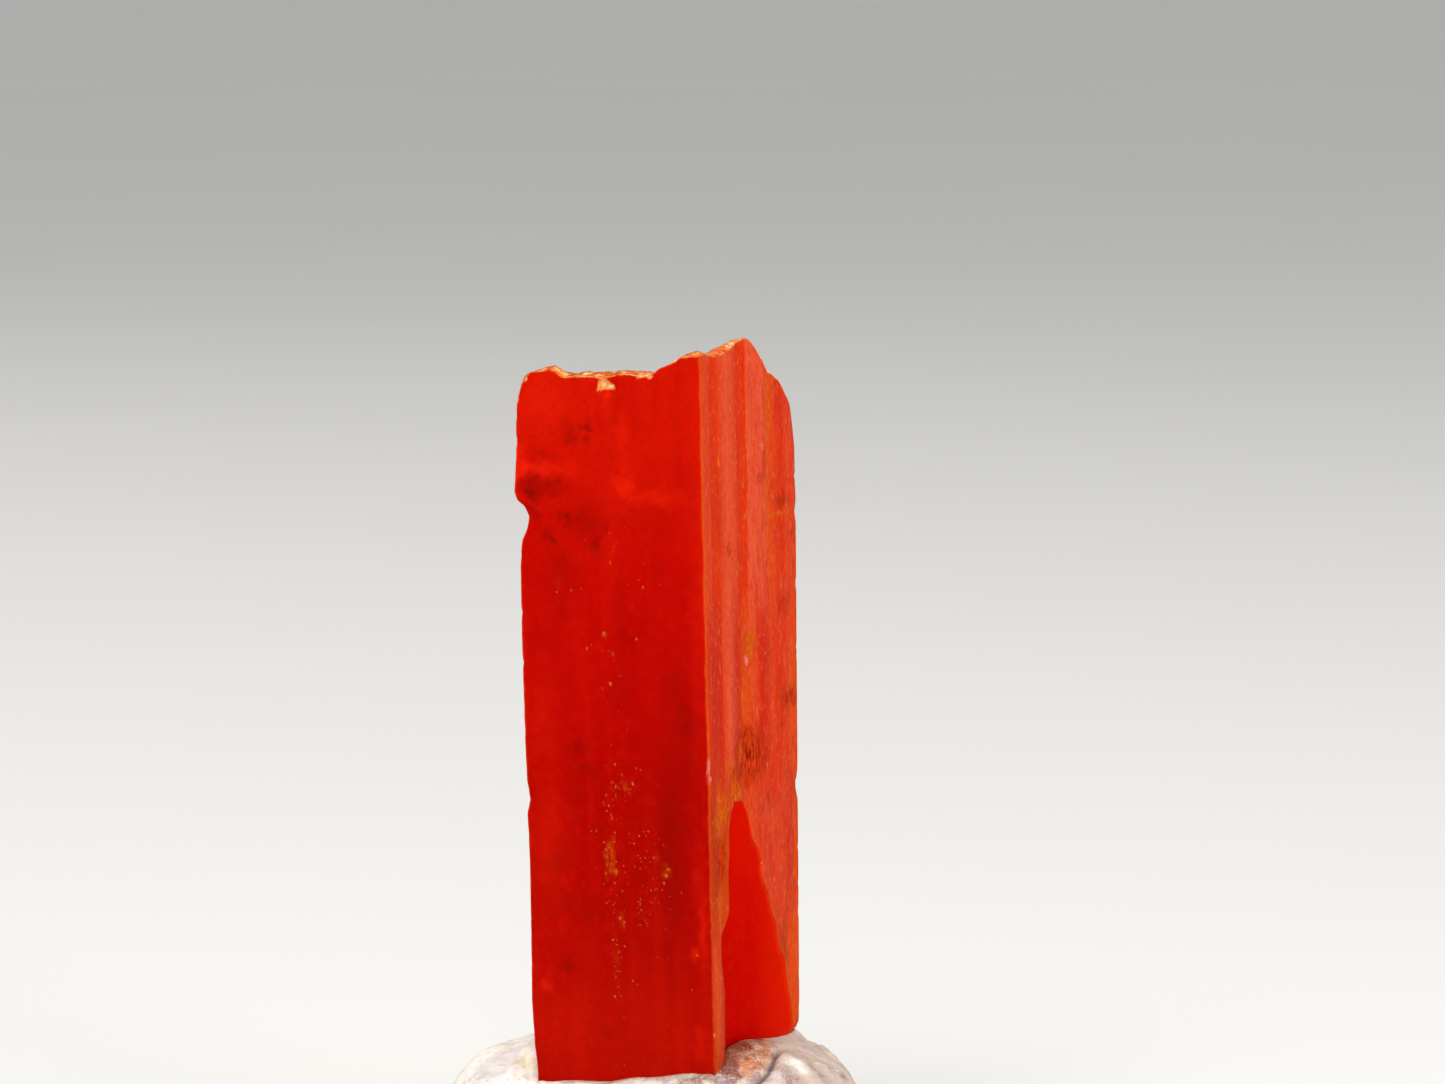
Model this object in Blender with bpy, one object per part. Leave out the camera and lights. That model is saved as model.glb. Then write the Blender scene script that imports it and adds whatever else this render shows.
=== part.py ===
"""A single crocoite crystal standing in a pat of grey-white mounting putty.

Heights in the tables are millimetres above the surface that the putty rests on. Across a prism
face, a place is given as a share of the face's width. The crystal's four upright edges are called
near, left, right and far, as seen from the front (-Y).
"""

import math

import bmesh
import bpy
import numpy as np

MM = 0.001

# Driving dimensions, in millimetres and degrees
FRONT_WIDTH, RIGHT_WIDTH = 5.38, 5.28  # the prism's faces, halfway up
PRISM_ANGLE = 93.7  # inside angle of the near and far edges, crocoite's (110) prism
FRONT_TURN = 23.8  # how far the front face is turned from facing -Y
HALFWAY = 12.5
NEAR_EDGE = (1.47, -3.43)  # where the near edge stands, halfway up
NEAR_LEAN, LEFT_LEAN, RIGHT_LEAN = 0.0215, 0.0244, 0.0085  # the edges' lean towards -X, run over rise
CRYSTAL_FOOT = 1.5  # lowest point of the broken lower end, inside the putty
FOOT_SLOPE = (0.35, 0.2)  # rise of the lower end across the front face and across the right face
SHOULDER = 19.4  # below this height the rows of the side faces are level

PUTTY_GAP = 0.3  # between the crystal and its socket
SOCKET_FLOOR = 1.0
PUTTY_EQUATOR = 1.7  # height at which the putty is widest

# Height of the broken top along each face's upper edge: share of the width, height
FRONT_RIM = [  # near edge to left edge
    (0.0, 22.79), (0.10, 22.77), (0.134, 22.64), (0.227, 22.39), (0.254, 22.28), (0.314, 22.22),
    (0.366, 22.26), (0.441, 22.25), (0.496, 22.16), (0.54, 22.12), (0.585, 22.17), (0.712, 22.14),
    (0.745, 22.14), (0.778, 22.24), (0.812, 22.32), (0.909, 22.22), (0.949, 22.06), (0.973, 21.89),
    (1.0, 21.43),
]
RIGHT_RIM = [  # near edge to right edge
    (0.0, 22.79), (0.164, 22.73), (0.223, 22.75), (0.294, 22.85), (0.40, 23.06), (0.447, 23.13),
    (0.497, 23.08), (0.544, 22.96), (0.592, 22.74), (0.653, 22.45), (0.712, 22.14), (0.76, 22.02),
    (0.822, 21.86), (0.871, 21.61), (0.931, 21.25), (0.968, 20.92), (0.988, 20.50), (1.0, 20.02),
]
RIM_REACH = 0.2  # how far a broken rim's ups and downs reach inwards, as a share of the width

# The broken top away from its rim: a floor that falls to the back, and a crest behind the near edge
TOP_FLOOR = 22.12
TOP_FALL = 0.75
CREST = [(0.0, 0.6), (0.2, 0.95), (0.45, 1.37), (0.6, 1.0), (0.75, 0.5), (1.0, 0.25)]
CREST_FADE = 0.95
CREST_END = (0.28, 0.45)
LIP_RISE = 0.18  # behind the rim of the front face, over the places below
LIP_START, LIP_PEAK, LIP_END = (0.28, 0.34), 0.1, 0.4
HACKLE = 0.08  # height of the fracture's small steps

# How far an upright edge is broken inwards: height, depth
LEFT_EDGE_CHIPS = [
    (2.0, 0.25), (3.0, 0.17), (4.1, 0.06), (5.2, 0.0), (7.1, 0.03), (9.0, 0.05), (10.3, 0.02),
    (10.66, 0.11), (11.2, 0.03), (12.3, 0.01), (15.0, 0.0), (17.2, 0.02), (17.7, 0.09),
    (18.0, 0.24), (18.31, 0.3), (18.56, 0.19), (18.77, -0.03), (18.99, -0.1), (19.6, -0.05),
    (20.0, -0.02), (20.8, 0.0), (21.5, 0.09), (22.0, 0.3),
]
RIGHT_EDGE_CHIPS = [
    (1.5, 1.6), (2.5, 1.35), (3.5, 0.85), (3.74, 0.5), (3.85, 0.26), (4.02, 0.1), (4.2, 0.02),
    (4.7, 0.0), (10.3, 0.0), (10.66, 0.07), (11.2, 0.0), (17.9, 0.0), (18.2, 0.04), (18.5, 0.0),
    (20.0, 0.03), (20.9, 0.08),
]
FAR_EDGE_CHIPS = [
    (2.0, 0.3), (3.5, 0.0), (7.6, 0.0), (8.1, 0.2), (8.9, 0.0), (14.2, 0.0), (14.8, 0.26),
    (15.1, 0.3), (16.2, 0.0), (20.0, 0.0), (21.1, 0.25),
]
EDGE_CHIPS = {(1, 0): LEFT_EDGE_CHIPS, (0, 1): RIGHT_EDGE_CHIPS, (1, 1): FAR_EDGE_CHIPS}
CHIP_REACH = 2.2  # a chip is this many times as wide as it is deep
CHIP_MARGIN = 0.12

# Growth grooves along the faces: share of the width, depth below the face
RIGHT_GROOVES = [
    (0.0, 0.0), (0.046, 0.0), (0.093, 0.0), (0.139, 0.055), (0.185, 0.0), (0.375, 0.0),
    (0.405, 0.10), (0.451, -0.01), (0.634, -0.02), (0.695, 0.05), (0.756, 0.0), (1.0, 0.0),
]
BACK_LEFT_GROOVES = [
    (0.0, 0.0), (0.19, 0.0), (0.24, 0.09), (0.29, 0.02), (0.52, 0.0), (0.57, 0.16), (0.62, 0.13),
    (0.71, 0.0), (0.9, -0.02), (1.0, 0.0),
]
BACK_RIGHT_GROOVES = [
    (0.0, 0.0), (0.12, 0.0), (0.2, 0.05), (0.3, 0.0), (0.4, 0.0), (0.46, 0.14), (0.55, 0.12),
    (0.65, 0.0), (0.85, 0.03), (1.0, 0.0),
]

# The split-off plate low on the right face: height, share of the width at its left and right ends
SPLIT_LEFT = [
    (4.2, 0.135), (5.6, 0.145), (6.0, 0.134), (6.5, 0.113), (7.2, 0.108), (7.4, 0.15),
    (7.8, 0.203), (8.9, 0.20), (9.4, 0.22), (10.0, 0.216), (10.4, 0.24), (10.7, 0.278),
]
SPLIT_RIGHT = [
    (4.2, 0.94), (4.7, 0.92), (5.6, 0.868), (6.0, 0.853), (6.4, 0.80), (6.6, 0.792),
    (7.05, 0.755), (7.4, 0.697), (7.8, 0.69), (8.15, 0.663), (8.3, 0.604), (8.9, 0.583),
    (9.3, 0.562), (9.6, 0.481), (10.1, 0.452), (10.4, 0.425), (10.7, 0.39),
]
SPLIT_TOP = 10.7
SPLIT_WALL = 0.015  # share of the width that its side walls take up
SPLIT_DEPTHS = (0.34, 0.06)  # along the near edge and along the right edge
SPLIT_TIP_SHARE, SPLIT_TIP_LENGTH = 0.35, 2.5  # the plate thins towards its tip

# A thin growth ledge across the front face, and a chip under its upper edge
LEDGE_HEIGHT_NEAR = 18.62
LEDGE_RISE = 0.40  # over the width of the face
LEDGE_DEPTH = 0.045
LEDGE_FADE = 1.2
FRONT_CHIP_CORNERS = [(0.548, 22.2), (0.462, 21.95), (0.548, 21.72)]
FRONT_CHIP_DEPTH, FRONT_CHIP_BEVEL = 0.11, 0.06

# Rows and columns of the crystal's faces
ROW_HEIGHTS = [
    2.2, 2.9, 3.5, 3.74, 4.02, 4.3, 4.9, 5.6, 6.3, 7.15, 7.4, 7.8, 8.3, 8.9, 9.3, 9.6, 10.1, 10.4,
    10.66, 10.74, 11.3, 12.6, 14.3, 15.0, 16.3, 17.3, 17.7, 18.0, 18.31, 18.56, 18.77, 18.99, 19.4,
]
ROWS_TO_RIM = [0.3, 0.6, 0.85, 1.0]
FRONT_COLUMNS = [0, 0.04, 0.12, 0.2, 0.3, 0.4, 0.462, 0.505, 0.548, 0.64, 0.745, 0.812, 0.909, 0.96, 1]
BACK_COLUMNS = [0, 0.05, 0.12, 0.2, 0.3, 0.4, 0.46, 0.55, 0.6, 0.65, 0.75, 0.85, 0.9, 0.95, 1]
STRIP_STEPS, SPLIT_STEPS, OUTER_STEPS = 6, 3, 10  # left of the plate, on it, and right of it
BACK_LEFT_COLUMNS = np.interp(
    np.linspace(0, 1, STRIP_STEPS + SPLIT_STEPS + OUTER_STEPS + 3),
    [0, 0.24, 0.33, 0.52, 0.62, 0.8, 1],
    [0, 0.19, 0.29, 0.52, 0.62, 0.8, 1],
)

# Lumps kneaded into the putty: x, y, rise, spread
PUTTY_LUMPS = [
    (-4.2, 1.2, 0.1, 1.3),
    (3.8, -2.8, 0.5, 1.0),
    (2.9, -1.6, 0.28, 0.8),
    (2.2, -4.0, -0.2, 0.6),
    (-2.6, -3.9, -0.15, 1.2),
    (-1.6, 4.4, 0.2, 1.2),
    (2.4, 4.3, -0.2, 0.9),
]
PUTTY_TOP = 3.75
PUTTY_TILT = 0.09  # rise of the top for each millimetre towards the back
DOME_POWER = 1.6
# Outline at the widest height: direction in degrees from +X, distance from the middle
PUTTY_OUTLINE = [
    (0, 5.72), (25, 5.66), (50, 5.42), (75, 5.62), (100, 5.74), (130, 5.5), (155, 5.72),
    (180, 5.86), (205, 5.7), (230, 5.46), (255, 5.62), (280, 5.6), (305, 5.52), (325, 5.9),
    (345, 5.62), (360, 5.72),
]
PUTTY_COLUMNS = 64
SHOULDER_RINGS = 9
SOCKET_RINGS = [0.35, 0.7, 1.0]  # shares of the way from the socket's middle to its wall
# Below its widest height the putty draws in to its flat base: height, share of the outline
FLANK = [(1.5, 0.995), (1.0, 0.975), (0.55, 0.945), (0.2, 0.91), (0.0, 0.87), (0.0, 0.45)]


def table(pairs, at):
    """The value of a table of pairs at one place or at an array of places."""
    places, values = zip(*pairs)
    return np.interp(at, places, values)


def smooth_step(low, high, value):
    share = np.clip((value - low) / (high - low), 0, 1)
    return share * share * (3 - 2 * share)


def face_vectors():
    """The front face's width from near to left, and the right face's from near to right, in plan."""
    left = math.radians(180 - FRONT_TURN)
    right = math.radians(180 - FRONT_TURN - PRISM_ANGLE)
    return (
        FRONT_WIDTH * np.array([math.cos(left), math.sin(left)]),
        RIGHT_WIDTH * np.array([math.cos(right), math.sin(right)]),
    )


def plan_point(across_front, across_right, height):
    """A point of the crystal's cross-section, before grooves and chips."""
    front, right = face_vectors()
    rise = height - HALFWAY
    near = np.array(NEAR_EDGE) - (NEAR_LEAN * rise, 0)
    front = front - ((LEFT_LEAN - NEAR_LEAN) * rise, 0)
    right = right - ((RIGHT_LEAN - NEAR_LEAN) * rise, 0)
    return near + across_front * front + across_right * right


def top_floor(across_front, across_right):
    """Height of the broken top away from its rim."""
    a, b = across_front, across_right
    crest = table(CREST, b) * (1 - CREST_FADE * a) * (1 - smooth_step(*CREST_END, a))
    lip = smooth_step(*LIP_START, a) * smooth_step(0, LIP_PEAK, b) * (1 - smooth_step(LIP_PEAK, LIP_END, b))
    steps = math.sin(9 * a + 4 * b) * math.sin(7 * b - 3 * a)
    return TOP_FLOOR - TOP_FALL * b + crest + LIP_RISE * lip + HACKLE * steps


def rim_share(across):
    return max(0.0, 1 - across / RIM_REACH) ** 2


def top_height(across_front, across_right):
    """Height of the broken top, which meets the rims of the two faces seen from the front."""
    a, b = across_front, across_right
    front = table(FRONT_RIM, a) - top_floor(a, 0)
    right = table(RIGHT_RIM, b) - top_floor(0, b)
    corner = FRONT_RIM[0][1] - top_floor(0, 0)
    to_rim = rim_share(b) * front + rim_share(a) * right - rim_share(a) * rim_share(b) * corner
    return top_floor(a, b) + to_rim


def foot_height(across_front, across_right):
    """Height of the broken lower end."""
    slope = FOOT_SLOPE[0] * across_front + FOOT_SLOPE[1] * across_right
    return CRYSTAL_FOOT + slope + HACKLE * math.sin(8 * across_front) * math.sin(6 * across_right)


def inside_triangle(across, height, corners):
    """1 well inside a triangle drawn on the front face, 0 outside it."""
    inside = 1.0
    for (u0, z0), (u1, z1) in zip(corners, corners[1:] + corners[:1]):
        run = np.array([(u1 - u0) * FRONT_WIDTH, z1 - z0])
        to_point = np.array([(across - u0) * FRONT_WIDTH, height - z0])
        distance = (run[1] * to_point[0] - run[0] * to_point[1]) / np.linalg.norm(run)
        inside = min(inside, float(np.clip(-distance / FRONT_CHIP_BEVEL, 0, 1)))
    return inside


def front_relief(across, height):
    """How far the front face lies below its plane."""
    below_ledge = LEDGE_HEIGHT_NEAR + LEDGE_RISE * across - height
    depth = FRONT_CHIP_DEPTH * inside_triangle(across, height, FRONT_CHIP_CORNERS)
    if below_ledge > 0:
        depth += LEDGE_DEPTH * math.exp(-below_ledge / LEDGE_FADE) * math.sin(math.pi * across)
    return depth


def right_relief(across, height):
    """How far the right face lies below its plane: grooves, or the bed of the split-off plate."""
    grooves = table(RIGHT_GROOVES, across)
    if height > SPLIT_TOP:
        return grooves
    left, right = table(SPLIT_LEFT, height), table(SPLIT_RIGHT, height)
    if not left + SPLIT_WALL / 2 < across < right - SPLIT_WALL / 2:
        return grooves
    from_tip = min(1, (SPLIT_TOP - height) / SPLIT_TIP_LENGTH)
    return np.interp(across, (0, 1), SPLIT_DEPTHS) * np.interp(from_tip, (0, 1), (SPLIT_TIP_SHARE, 1))


def right_columns(height):
    """Where the columns of the right face run at a height: they follow the plate's two ends."""
    held = min(height, SPLIT_TOP)
    left, right = table(SPLIT_LEFT, held), table(SPLIT_RIGHT, held)
    return np.concatenate([
        np.linspace(0, left, STRIP_STEPS + 1),
        np.linspace(left + SPLIT_WALL, right - SPLIT_WALL, SPLIT_STEPS + 1),
        np.linspace(right, 1, OUTER_STEPS + 1),
    ])


def edge_break(from_edge, height, chips):
    """How far a point is pushed in by the chips of an edge that it lies a distance from."""
    depth = table(chips, height)
    reach = CHIP_REACH * abs(depth) + CHIP_MARGIN
    return depth * max(0.0, 1 - from_edge / reach)


def side_point(across_front, across_right, relief, normal, height):
    """A point of the crystal's side, with its face's relief and the chips of its edges."""
    point = plan_point(across_front, across_right, height) - relief * normal
    for edge, chips in EDGE_CHIPS.items():
        away = FRONT_WIDTH * abs(across_front - edge[0]) + RIGHT_WIDTH * abs(across_right - edge[1])
        inwards = plan_point(0.5, 0.5, height) - plan_point(*edge, height)
        point = point + inwards / np.linalg.norm(inwards) * edge_break(away, height, chips)
    return point


def ring_places(height):
    """The perimeter in order near, right, far, left: (across front, across right, relief, normal)."""
    front, right = face_vectors()
    out_front = np.array([-front[1], front[0]]) / FRONT_WIDTH
    out_right = np.array([right[1], -right[0]]) / RIGHT_WIDTH
    places = []
    for b in right_columns(height)[:-1]:
        places.append((0.0, b, right_relief(b, height), out_right))
    for a in BACK_COLUMNS[:-1]:
        places.append((a, 1.0, table(BACK_RIGHT_GROOVES, a), -out_front))
    for b in BACK_LEFT_COLUMNS[:0:-1]:
        places.append((1.0, b, table(BACK_LEFT_GROOVES, b), -out_right))
    for a in FRONT_COLUMNS[:0:-1]:
        places.append((a, 0.0, front_relief(a, height), out_front))
    return places


def crystal_rows():
    """Rings of points up the crystal's side, from the broken foot to the broken top's rim."""
    rows = []
    for height in [None, *ROW_HEIGHTS]:
        row = []
        for a, b, relief, normal in ring_places(height or ROW_HEIGHTS[0]):
            z = foot_height(a, b) if height is None else height
            row.append((*side_point(a, b, relief, normal, z), z))
        rows.append(row)
    for share in ROWS_TO_RIM:
        row = []
        for a, b, relief, normal in ring_places(SHOULDER):
            z = SHOULDER + share * (top_height(a, b) - SHOULDER)
            if b == 0:
                relief = front_relief(a, z)
            row.append((*side_point(a, b, relief, normal, z), z))
        rows.append(row)
    return rows


def cap_rows(ring, height_of):
    """A grid of points that closes a ring: each line runs from the front face to the far face."""
    across = len(FRONT_COLUMNS) - 1
    deep = len(BACK_LEFT_COLUMNS) - 1
    right_side = ring[: deep + 1]
    far_side = ring[deep : deep + across + 1]
    left_side = ring[deep + across : 2 * deep + across + 1][::-1]
    front_side = [ring[0], *ring[: 2 * deep + across - 1 : -1]]
    b_right, b_left = right_columns(SHOULDER), BACK_LEFT_COLUMNS
    grid = []
    for i in range(across + 1):
        line = []
        for j in range(deep + 1):
            share_a, share_b = i / across, j / deep
            a = (1 - share_b) * FRONT_COLUMNS[i] + share_b * BACK_COLUMNS[i]
            b = (1 - share_a) * b_right[j] + share_a * b_left[j]
            edges = {0: right_side[j], across: left_side[j]}
            if i in edges:
                line.append(edges[i])
                continue
            if j in (0, deep):
                line.append(front_side[i] if j == 0 else far_side[i])
                continue
            z = height_of(a, b)
            line.append((*plan_point(a, b, z), z))
        grid.append(line)
    return grid


def add_ring(bm, points):
    return [bm.verts.new((x * MM, y * MM, z * MM)) for x, y, z in points]


def join_rings(bm, lower, upper):
    count = len(lower)
    for i in range(count):
        j = (i + 1) % count
        bm.faces.new((lower[i], lower[j], upper[j], upper[i]))


def close_with_grid(bm, ring_verts, grid, upwards):
    """Fills a ring with the grid's faces, sharing the ring's own vertices along the border."""
    across, deep = len(grid) - 1, len(grid[0]) - 1
    ring_size = len(ring_verts)
    verts = {}
    for i in range(across + 1):
        for j in range(deep + 1):
            if i == 0:
                verts[i, j] = ring_verts[j]
            elif j == deep:
                verts[i, j] = ring_verts[deep + i]
            elif i == across:
                verts[i, j] = ring_verts[2 * deep + across - j]
            elif j == 0:
                verts[i, j] = ring_verts[ring_size - i]
            else:
                verts[i, j] = add_ring(bm, [grid[i][j]])[0]
    for i in range(across):
        for j in range(deep):
            corners = (verts[i, j], verts[i, j + 1], verts[i + 1, j + 1], verts[i + 1, j])
            bm.faces.new(corners if upwards else corners[::-1])


def finish_object(bm, name, material, sharp_degrees):
    bmesh.ops.recalc_face_normals(bm, faces=bm.faces)
    mesh = bpy.data.meshes.new(name)
    bm.to_mesh(mesh)
    bm.free()
    mesh.shade_smooth()
    mesh.set_sharp_from_angle(angle=math.radians(sharp_degrees))
    mesh.materials.append(material)
    obj = bpy.data.objects.new(name, mesh)
    bpy.context.scene.collection.objects.link(obj)
    return obj


def make_crystal(material):
    bm = bmesh.new()
    rows = crystal_rows()
    rings = [add_ring(bm, row) for row in rows]
    for lower, upper in zip(rings, rings[1:]):
        join_rings(bm, lower, upper)
    close_with_grid(bm, rings[-1], cap_rows(rows[-1], top_height), True)
    close_with_grid(bm, rings[0], cap_rows(rows[0], foot_height), False)
    return finish_object(bm, "crystal", material, 12)


def socket_outline(gap, height):
    """The crystal's cross-section grown by a gap: one point in the direction of each of the putty's columns."""
    corners = [plan_point(*edge, height) for edge in ((0, 0), (0, 1), (1, 1), (1, 0))]
    centre = plan_point(0.5, 0.5, height)
    outline = []
    for i in range(PUTTY_COLUMNS):
        angle = 2 * math.pi * i / PUTTY_COLUMNS
        direction = np.array([math.cos(angle), math.sin(angle)])
        reach = math.inf
        for start, end in zip(corners, corners[1:] + corners[:1]):
            run = (end - start) / np.linalg.norm(end - start)
            normal = np.array([run[1], -run[0]])
            facing = normal @ direction
            if facing > 1e-6:
                reach = min(reach, (normal @ (start - centre) + gap) / facing)
        outline.append(centre + direction * reach)
    return outline


def putty_height(x, y, share):
    """Height of the putty's upper side: a low dome with lumps, falling to its widest height."""
    top = PUTTY_TOP + PUTTY_TILT * y
    dome = PUTTY_EQUATOR + (top - PUTTY_EQUATOR) * math.sqrt(max(0.0, 1 - share**DOME_POWER))
    lumps = sum(
        rise * math.exp(-((x - lx) ** 2 + (y - ly) ** 2) / (2 * spread**2))
        for lx, ly, rise, spread in PUTTY_LUMPS
    )
    return dome + lumps * (1 - share**3)


def putty_outline():
    """The putty's outline where it is widest, with its box centred on the origin."""
    angles = 2 * np.pi * np.arange(PUTTY_COLUMNS) / PUTTY_COLUMNS
    distances = table(PUTTY_OUTLINE, np.degrees(angles))
    outline = np.stack([distances * np.cos(angles), distances * np.sin(angles)], axis=1)
    return outline - (outline.min(axis=0) + outline.max(axis=0)) / 2


def make_putty(material):
    bm = bmesh.new()
    outer = putty_outline()
    socket_low = socket_outline(PUTTY_GAP, CRYSTAL_FOOT)
    lip = socket_outline(PUTTY_GAP, PUTTY_TOP)
    floor_middle = plan_point(0.5, 0.5, CRYSTAL_FOOT)
    rings = []
    for share in SOCKET_RINGS:
        rings.append([(*(floor_middle + share * (p - floor_middle)), SOCKET_FLOOR) for p in socket_low])
    for ring in range(SHOULDER_RINGS + 1):
        share = math.sin(0.5 * math.pi * ring / SHOULDER_RINGS)
        row = []
        for inner, edge in zip(lip, outer):
            x, y = inner + share * (edge - inner)
            row.append((x, y, putty_height(x, y, share)))
        rings.append(row)
    for height, share in FLANK:
        rings.append([(*(p * share), height) for p in outer])
    made = [add_ring(bm, ring) for ring in rings]
    for lower, upper in zip(made, made[1:]):
        join_rings(bm, lower, upper)
    for ring, middle in ((made[0], (*floor_middle, SOCKET_FLOOR)), (made[-1], (0, 0, 0))):
        centre = add_ring(bm, [middle])[0]
        for i in range(PUTTY_COLUMNS):
            bm.faces.new((ring[i], ring[(i + 1) % PUTTY_COLUMNS], centre))
    return finish_object(bm, "mounting_putty", material, 35)


def make_material(name, colour, roughness):
    material = bpy.data.materials.new(name)
    material.use_nodes = True
    shader = material.node_tree.nodes["Principled BSDF"]
    shader.inputs["Base Color"].default_value = (*colour, 1)
    shader.inputs["Roughness"].default_value = roughness
    shader.inputs["Metallic"].default_value = 0.0
    return material


def main():
    for obj in list(bpy.data.objects):
        bpy.data.objects.remove(obj)
    make_crystal(make_material("crocoite", (0.62, 0.02, 0.004), 0.22))
    make_putty(make_material("putty", (0.62, 0.57, 0.50), 0.6))


main()
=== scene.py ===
import math
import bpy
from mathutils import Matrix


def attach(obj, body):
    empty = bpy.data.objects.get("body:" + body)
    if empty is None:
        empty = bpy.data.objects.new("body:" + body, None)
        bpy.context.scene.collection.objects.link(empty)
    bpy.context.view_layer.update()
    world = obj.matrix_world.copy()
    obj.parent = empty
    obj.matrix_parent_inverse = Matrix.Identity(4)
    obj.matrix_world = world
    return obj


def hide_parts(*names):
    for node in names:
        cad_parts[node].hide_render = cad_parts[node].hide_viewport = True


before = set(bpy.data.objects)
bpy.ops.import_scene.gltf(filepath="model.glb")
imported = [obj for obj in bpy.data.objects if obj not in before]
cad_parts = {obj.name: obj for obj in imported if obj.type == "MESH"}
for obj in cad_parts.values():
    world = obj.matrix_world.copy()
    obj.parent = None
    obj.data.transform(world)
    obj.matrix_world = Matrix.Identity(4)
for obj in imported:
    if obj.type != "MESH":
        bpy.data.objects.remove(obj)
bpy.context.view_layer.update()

from types import SimpleNamespace

import bpy
import numpy as np
from mathutils import Vector

mm = 0.001


def tint(red, green, blue):
    # a screen colour, 0 to 255, as the light values that Blender works in
    channels = [value / 255 for value in (red, green, blue)]
    return tuple(c / 12.92 if c <= 0.04045 else ((c + 0.055) / 1.055) ** 2.4 for c in channels) + (1,)


# node graphs: one set of tools for materials and for Geometry Nodes

def operators(kind):
    # a Math node's operator and its reflected form
    def forward(self, other):
        return self.graph.math(kind, self, other)

    def reflected(self, other):
        return self.graph.math(kind, other, self)

    return forward, reflected


class Field:
    # a socket that Python's operators work on, each adding its Math node
    def __init__(self, graph, socket):
        self.graph, self.socket = graph, socket

    __add__, __radd__ = operators("ADD")
    __sub__, __rsub__ = operators("SUBTRACT")
    __mul__, __rmul__ = operators("MULTIPLY")
    __truediv__, __rtruediv__ = operators("DIVIDE")

    def __abs__(self):
        return self.graph.math("ABSOLUTE", self)


class Graph:
    def __init__(self, tree):
        self.tree = tree

    def node(self, kind, settings=(), sockets=(), output=0):
        made = self.tree.nodes.new(kind)
        for name, value in dict(settings).items():
            if name == "stops":
                self.setStops(made.color_ramp, value)
            else:
                setattr(made, name, value)
        for key, value in dict(sockets).items():
            socket = self.pick(made.inputs, key)
            if isinstance(value, Field):
                self.tree.links.new(value.socket, socket)
            else:
                socket.default_value = value
        return Field(self, self.pick(made.outputs, output))

    def pick(self, sockets, key):
        if isinstance(key, int):
            return sockets[key]
        return next(s for s in sockets if key in (s.identifier, s.name))

    def setStops(self, ramp, stops):
        while len(ramp.elements) > 1:
            ramp.elements.remove(ramp.elements[-1])
        for i, (place, rgb) in enumerate(stops):
            stop = ramp.elements[0] if i == 0 else ramp.elements.new(place)
            stop.position = place
            stop.color = tint(*rgb)

    def math(self, operation, *values):
        return self.node("ShaderNodeMath", {"operation": operation}, dict(enumerate(values)))

    def vector(self, operation, *values):
        return self.node("ShaderNodeVectorMath", {"operation": operation}, dict(enumerate(values)))

    def scaled(self, vector, factor):
        return self.node("ShaderNodeVectorMath", {"operation": "SCALE"}, {0: vector, "Scale": factor})

    def join(self, x, y, z):
        return self.node("ShaderNodeCombineXYZ", (), {0: x, 1: y, 2: z})

    def part(self, vector, axis):
        return self.node("ShaderNodeSeparateXYZ", (), {0: vector}, axis)

    def noise(self, vector, scale, detail=2.0, roughness=0.5, distortion=0.0):
        return self.node("ShaderNodeTexNoise", (), {
            "Vector": vector, "Scale": scale, "Detail": detail, "Roughness": roughness,
            "Distortion": distortion,
        })

    def smooth(self, value, low, high):
        # 0 up to low and 1 from high on, eased between them; low may be the higher of the two
        return self.node("ShaderNodeMapRange", {"interpolation_type": "SMOOTHSTEP"}, {
            "Value": value, "From Min": low, "From Max": high,
        })

    def mix(self, share, first, second):
        return self.node("ShaderNodeMix", {"data_type": "RGBA"}, {
            "Factor_Float": share, "A_Color": first, "B_Color": second,
        }, "Result_Color")

    def coat(self, colour, *coats):
        # lays tints over a colour: how much of it shows, the tint
        for share, rgb in coats:
            colour = self.mix(share, colour, tint(*rgb))
        return colour

    def mottled(self, colour, *layers):
        # the same by textures: the texture, where it sets in and where it is full, how much, the tint
        for texture, low, high, amount, rgb in layers:
            colour = self.coat(colour, (self.smooth(texture, low, high) * amount, rgb))
        return colour

    def ramp(self, value, stops):
        return self.node("ShaderNodeValToRGB", {"stops": stops}, {0: value})

    def bump(self, height, strength, depth):
        return self.node("ShaderNodeBump", (), {
            "Height": height, "Strength": strength, "Distance": depth * mm,
        }, "Normal")


def newMaterial(name, fixed):
    # a material with its shader's constant sockets set, its graph, and a way to link the varying ones
    material = bpy.data.materials.new(name)
    material.use_nodes = True
    shader = material.node_tree.nodes["Principled BSDF"]
    for socket, value in fixed.items():
        shader.inputs[socket].default_value = value
    graph = Graph(material.node_tree)

    def feed(socket, value):
        material.node_tree.links.new(value.socket, shader.inputs[socket])

    return material, graph, feed


def objectPlace(graph):
    # Object coordinates in millimetres
    place = graph.node("ShaderNodeTexCoord", (), (), "Object")
    return graph.scaled(place, 1 / mm)


def surfaceValue(graph, name):
    return graph.node("ShaderNodeAttribute", {"attribute_name": name}, (), "Fac")


# geometry helpers

def newTree(name, numbers):
    # a Geometry Nodes tree whose inputs are its geometry, the named numbers and a material
    tree = bpy.data.node_groups.new(name, "GeometryNodeTree")
    sockets = [("Geometry", "OUTPUT", "Geometry"), ("Geometry", "INPUT", "Geometry")]
    sockets += [(label, "INPUT", "Float") for label in numbers] + [("Material", "INPUT", "Material")]
    for label, way, kind in sockets:
        tree.interface.new_socket(label, in_out=way, socket_type="NodeSocket" + kind)
    graph = Graph(tree)
    source = tree.nodes.new("NodeGroupInput")
    return tree, graph, lambda label: Field(graph, graph.pick(source.outputs, label))


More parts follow.
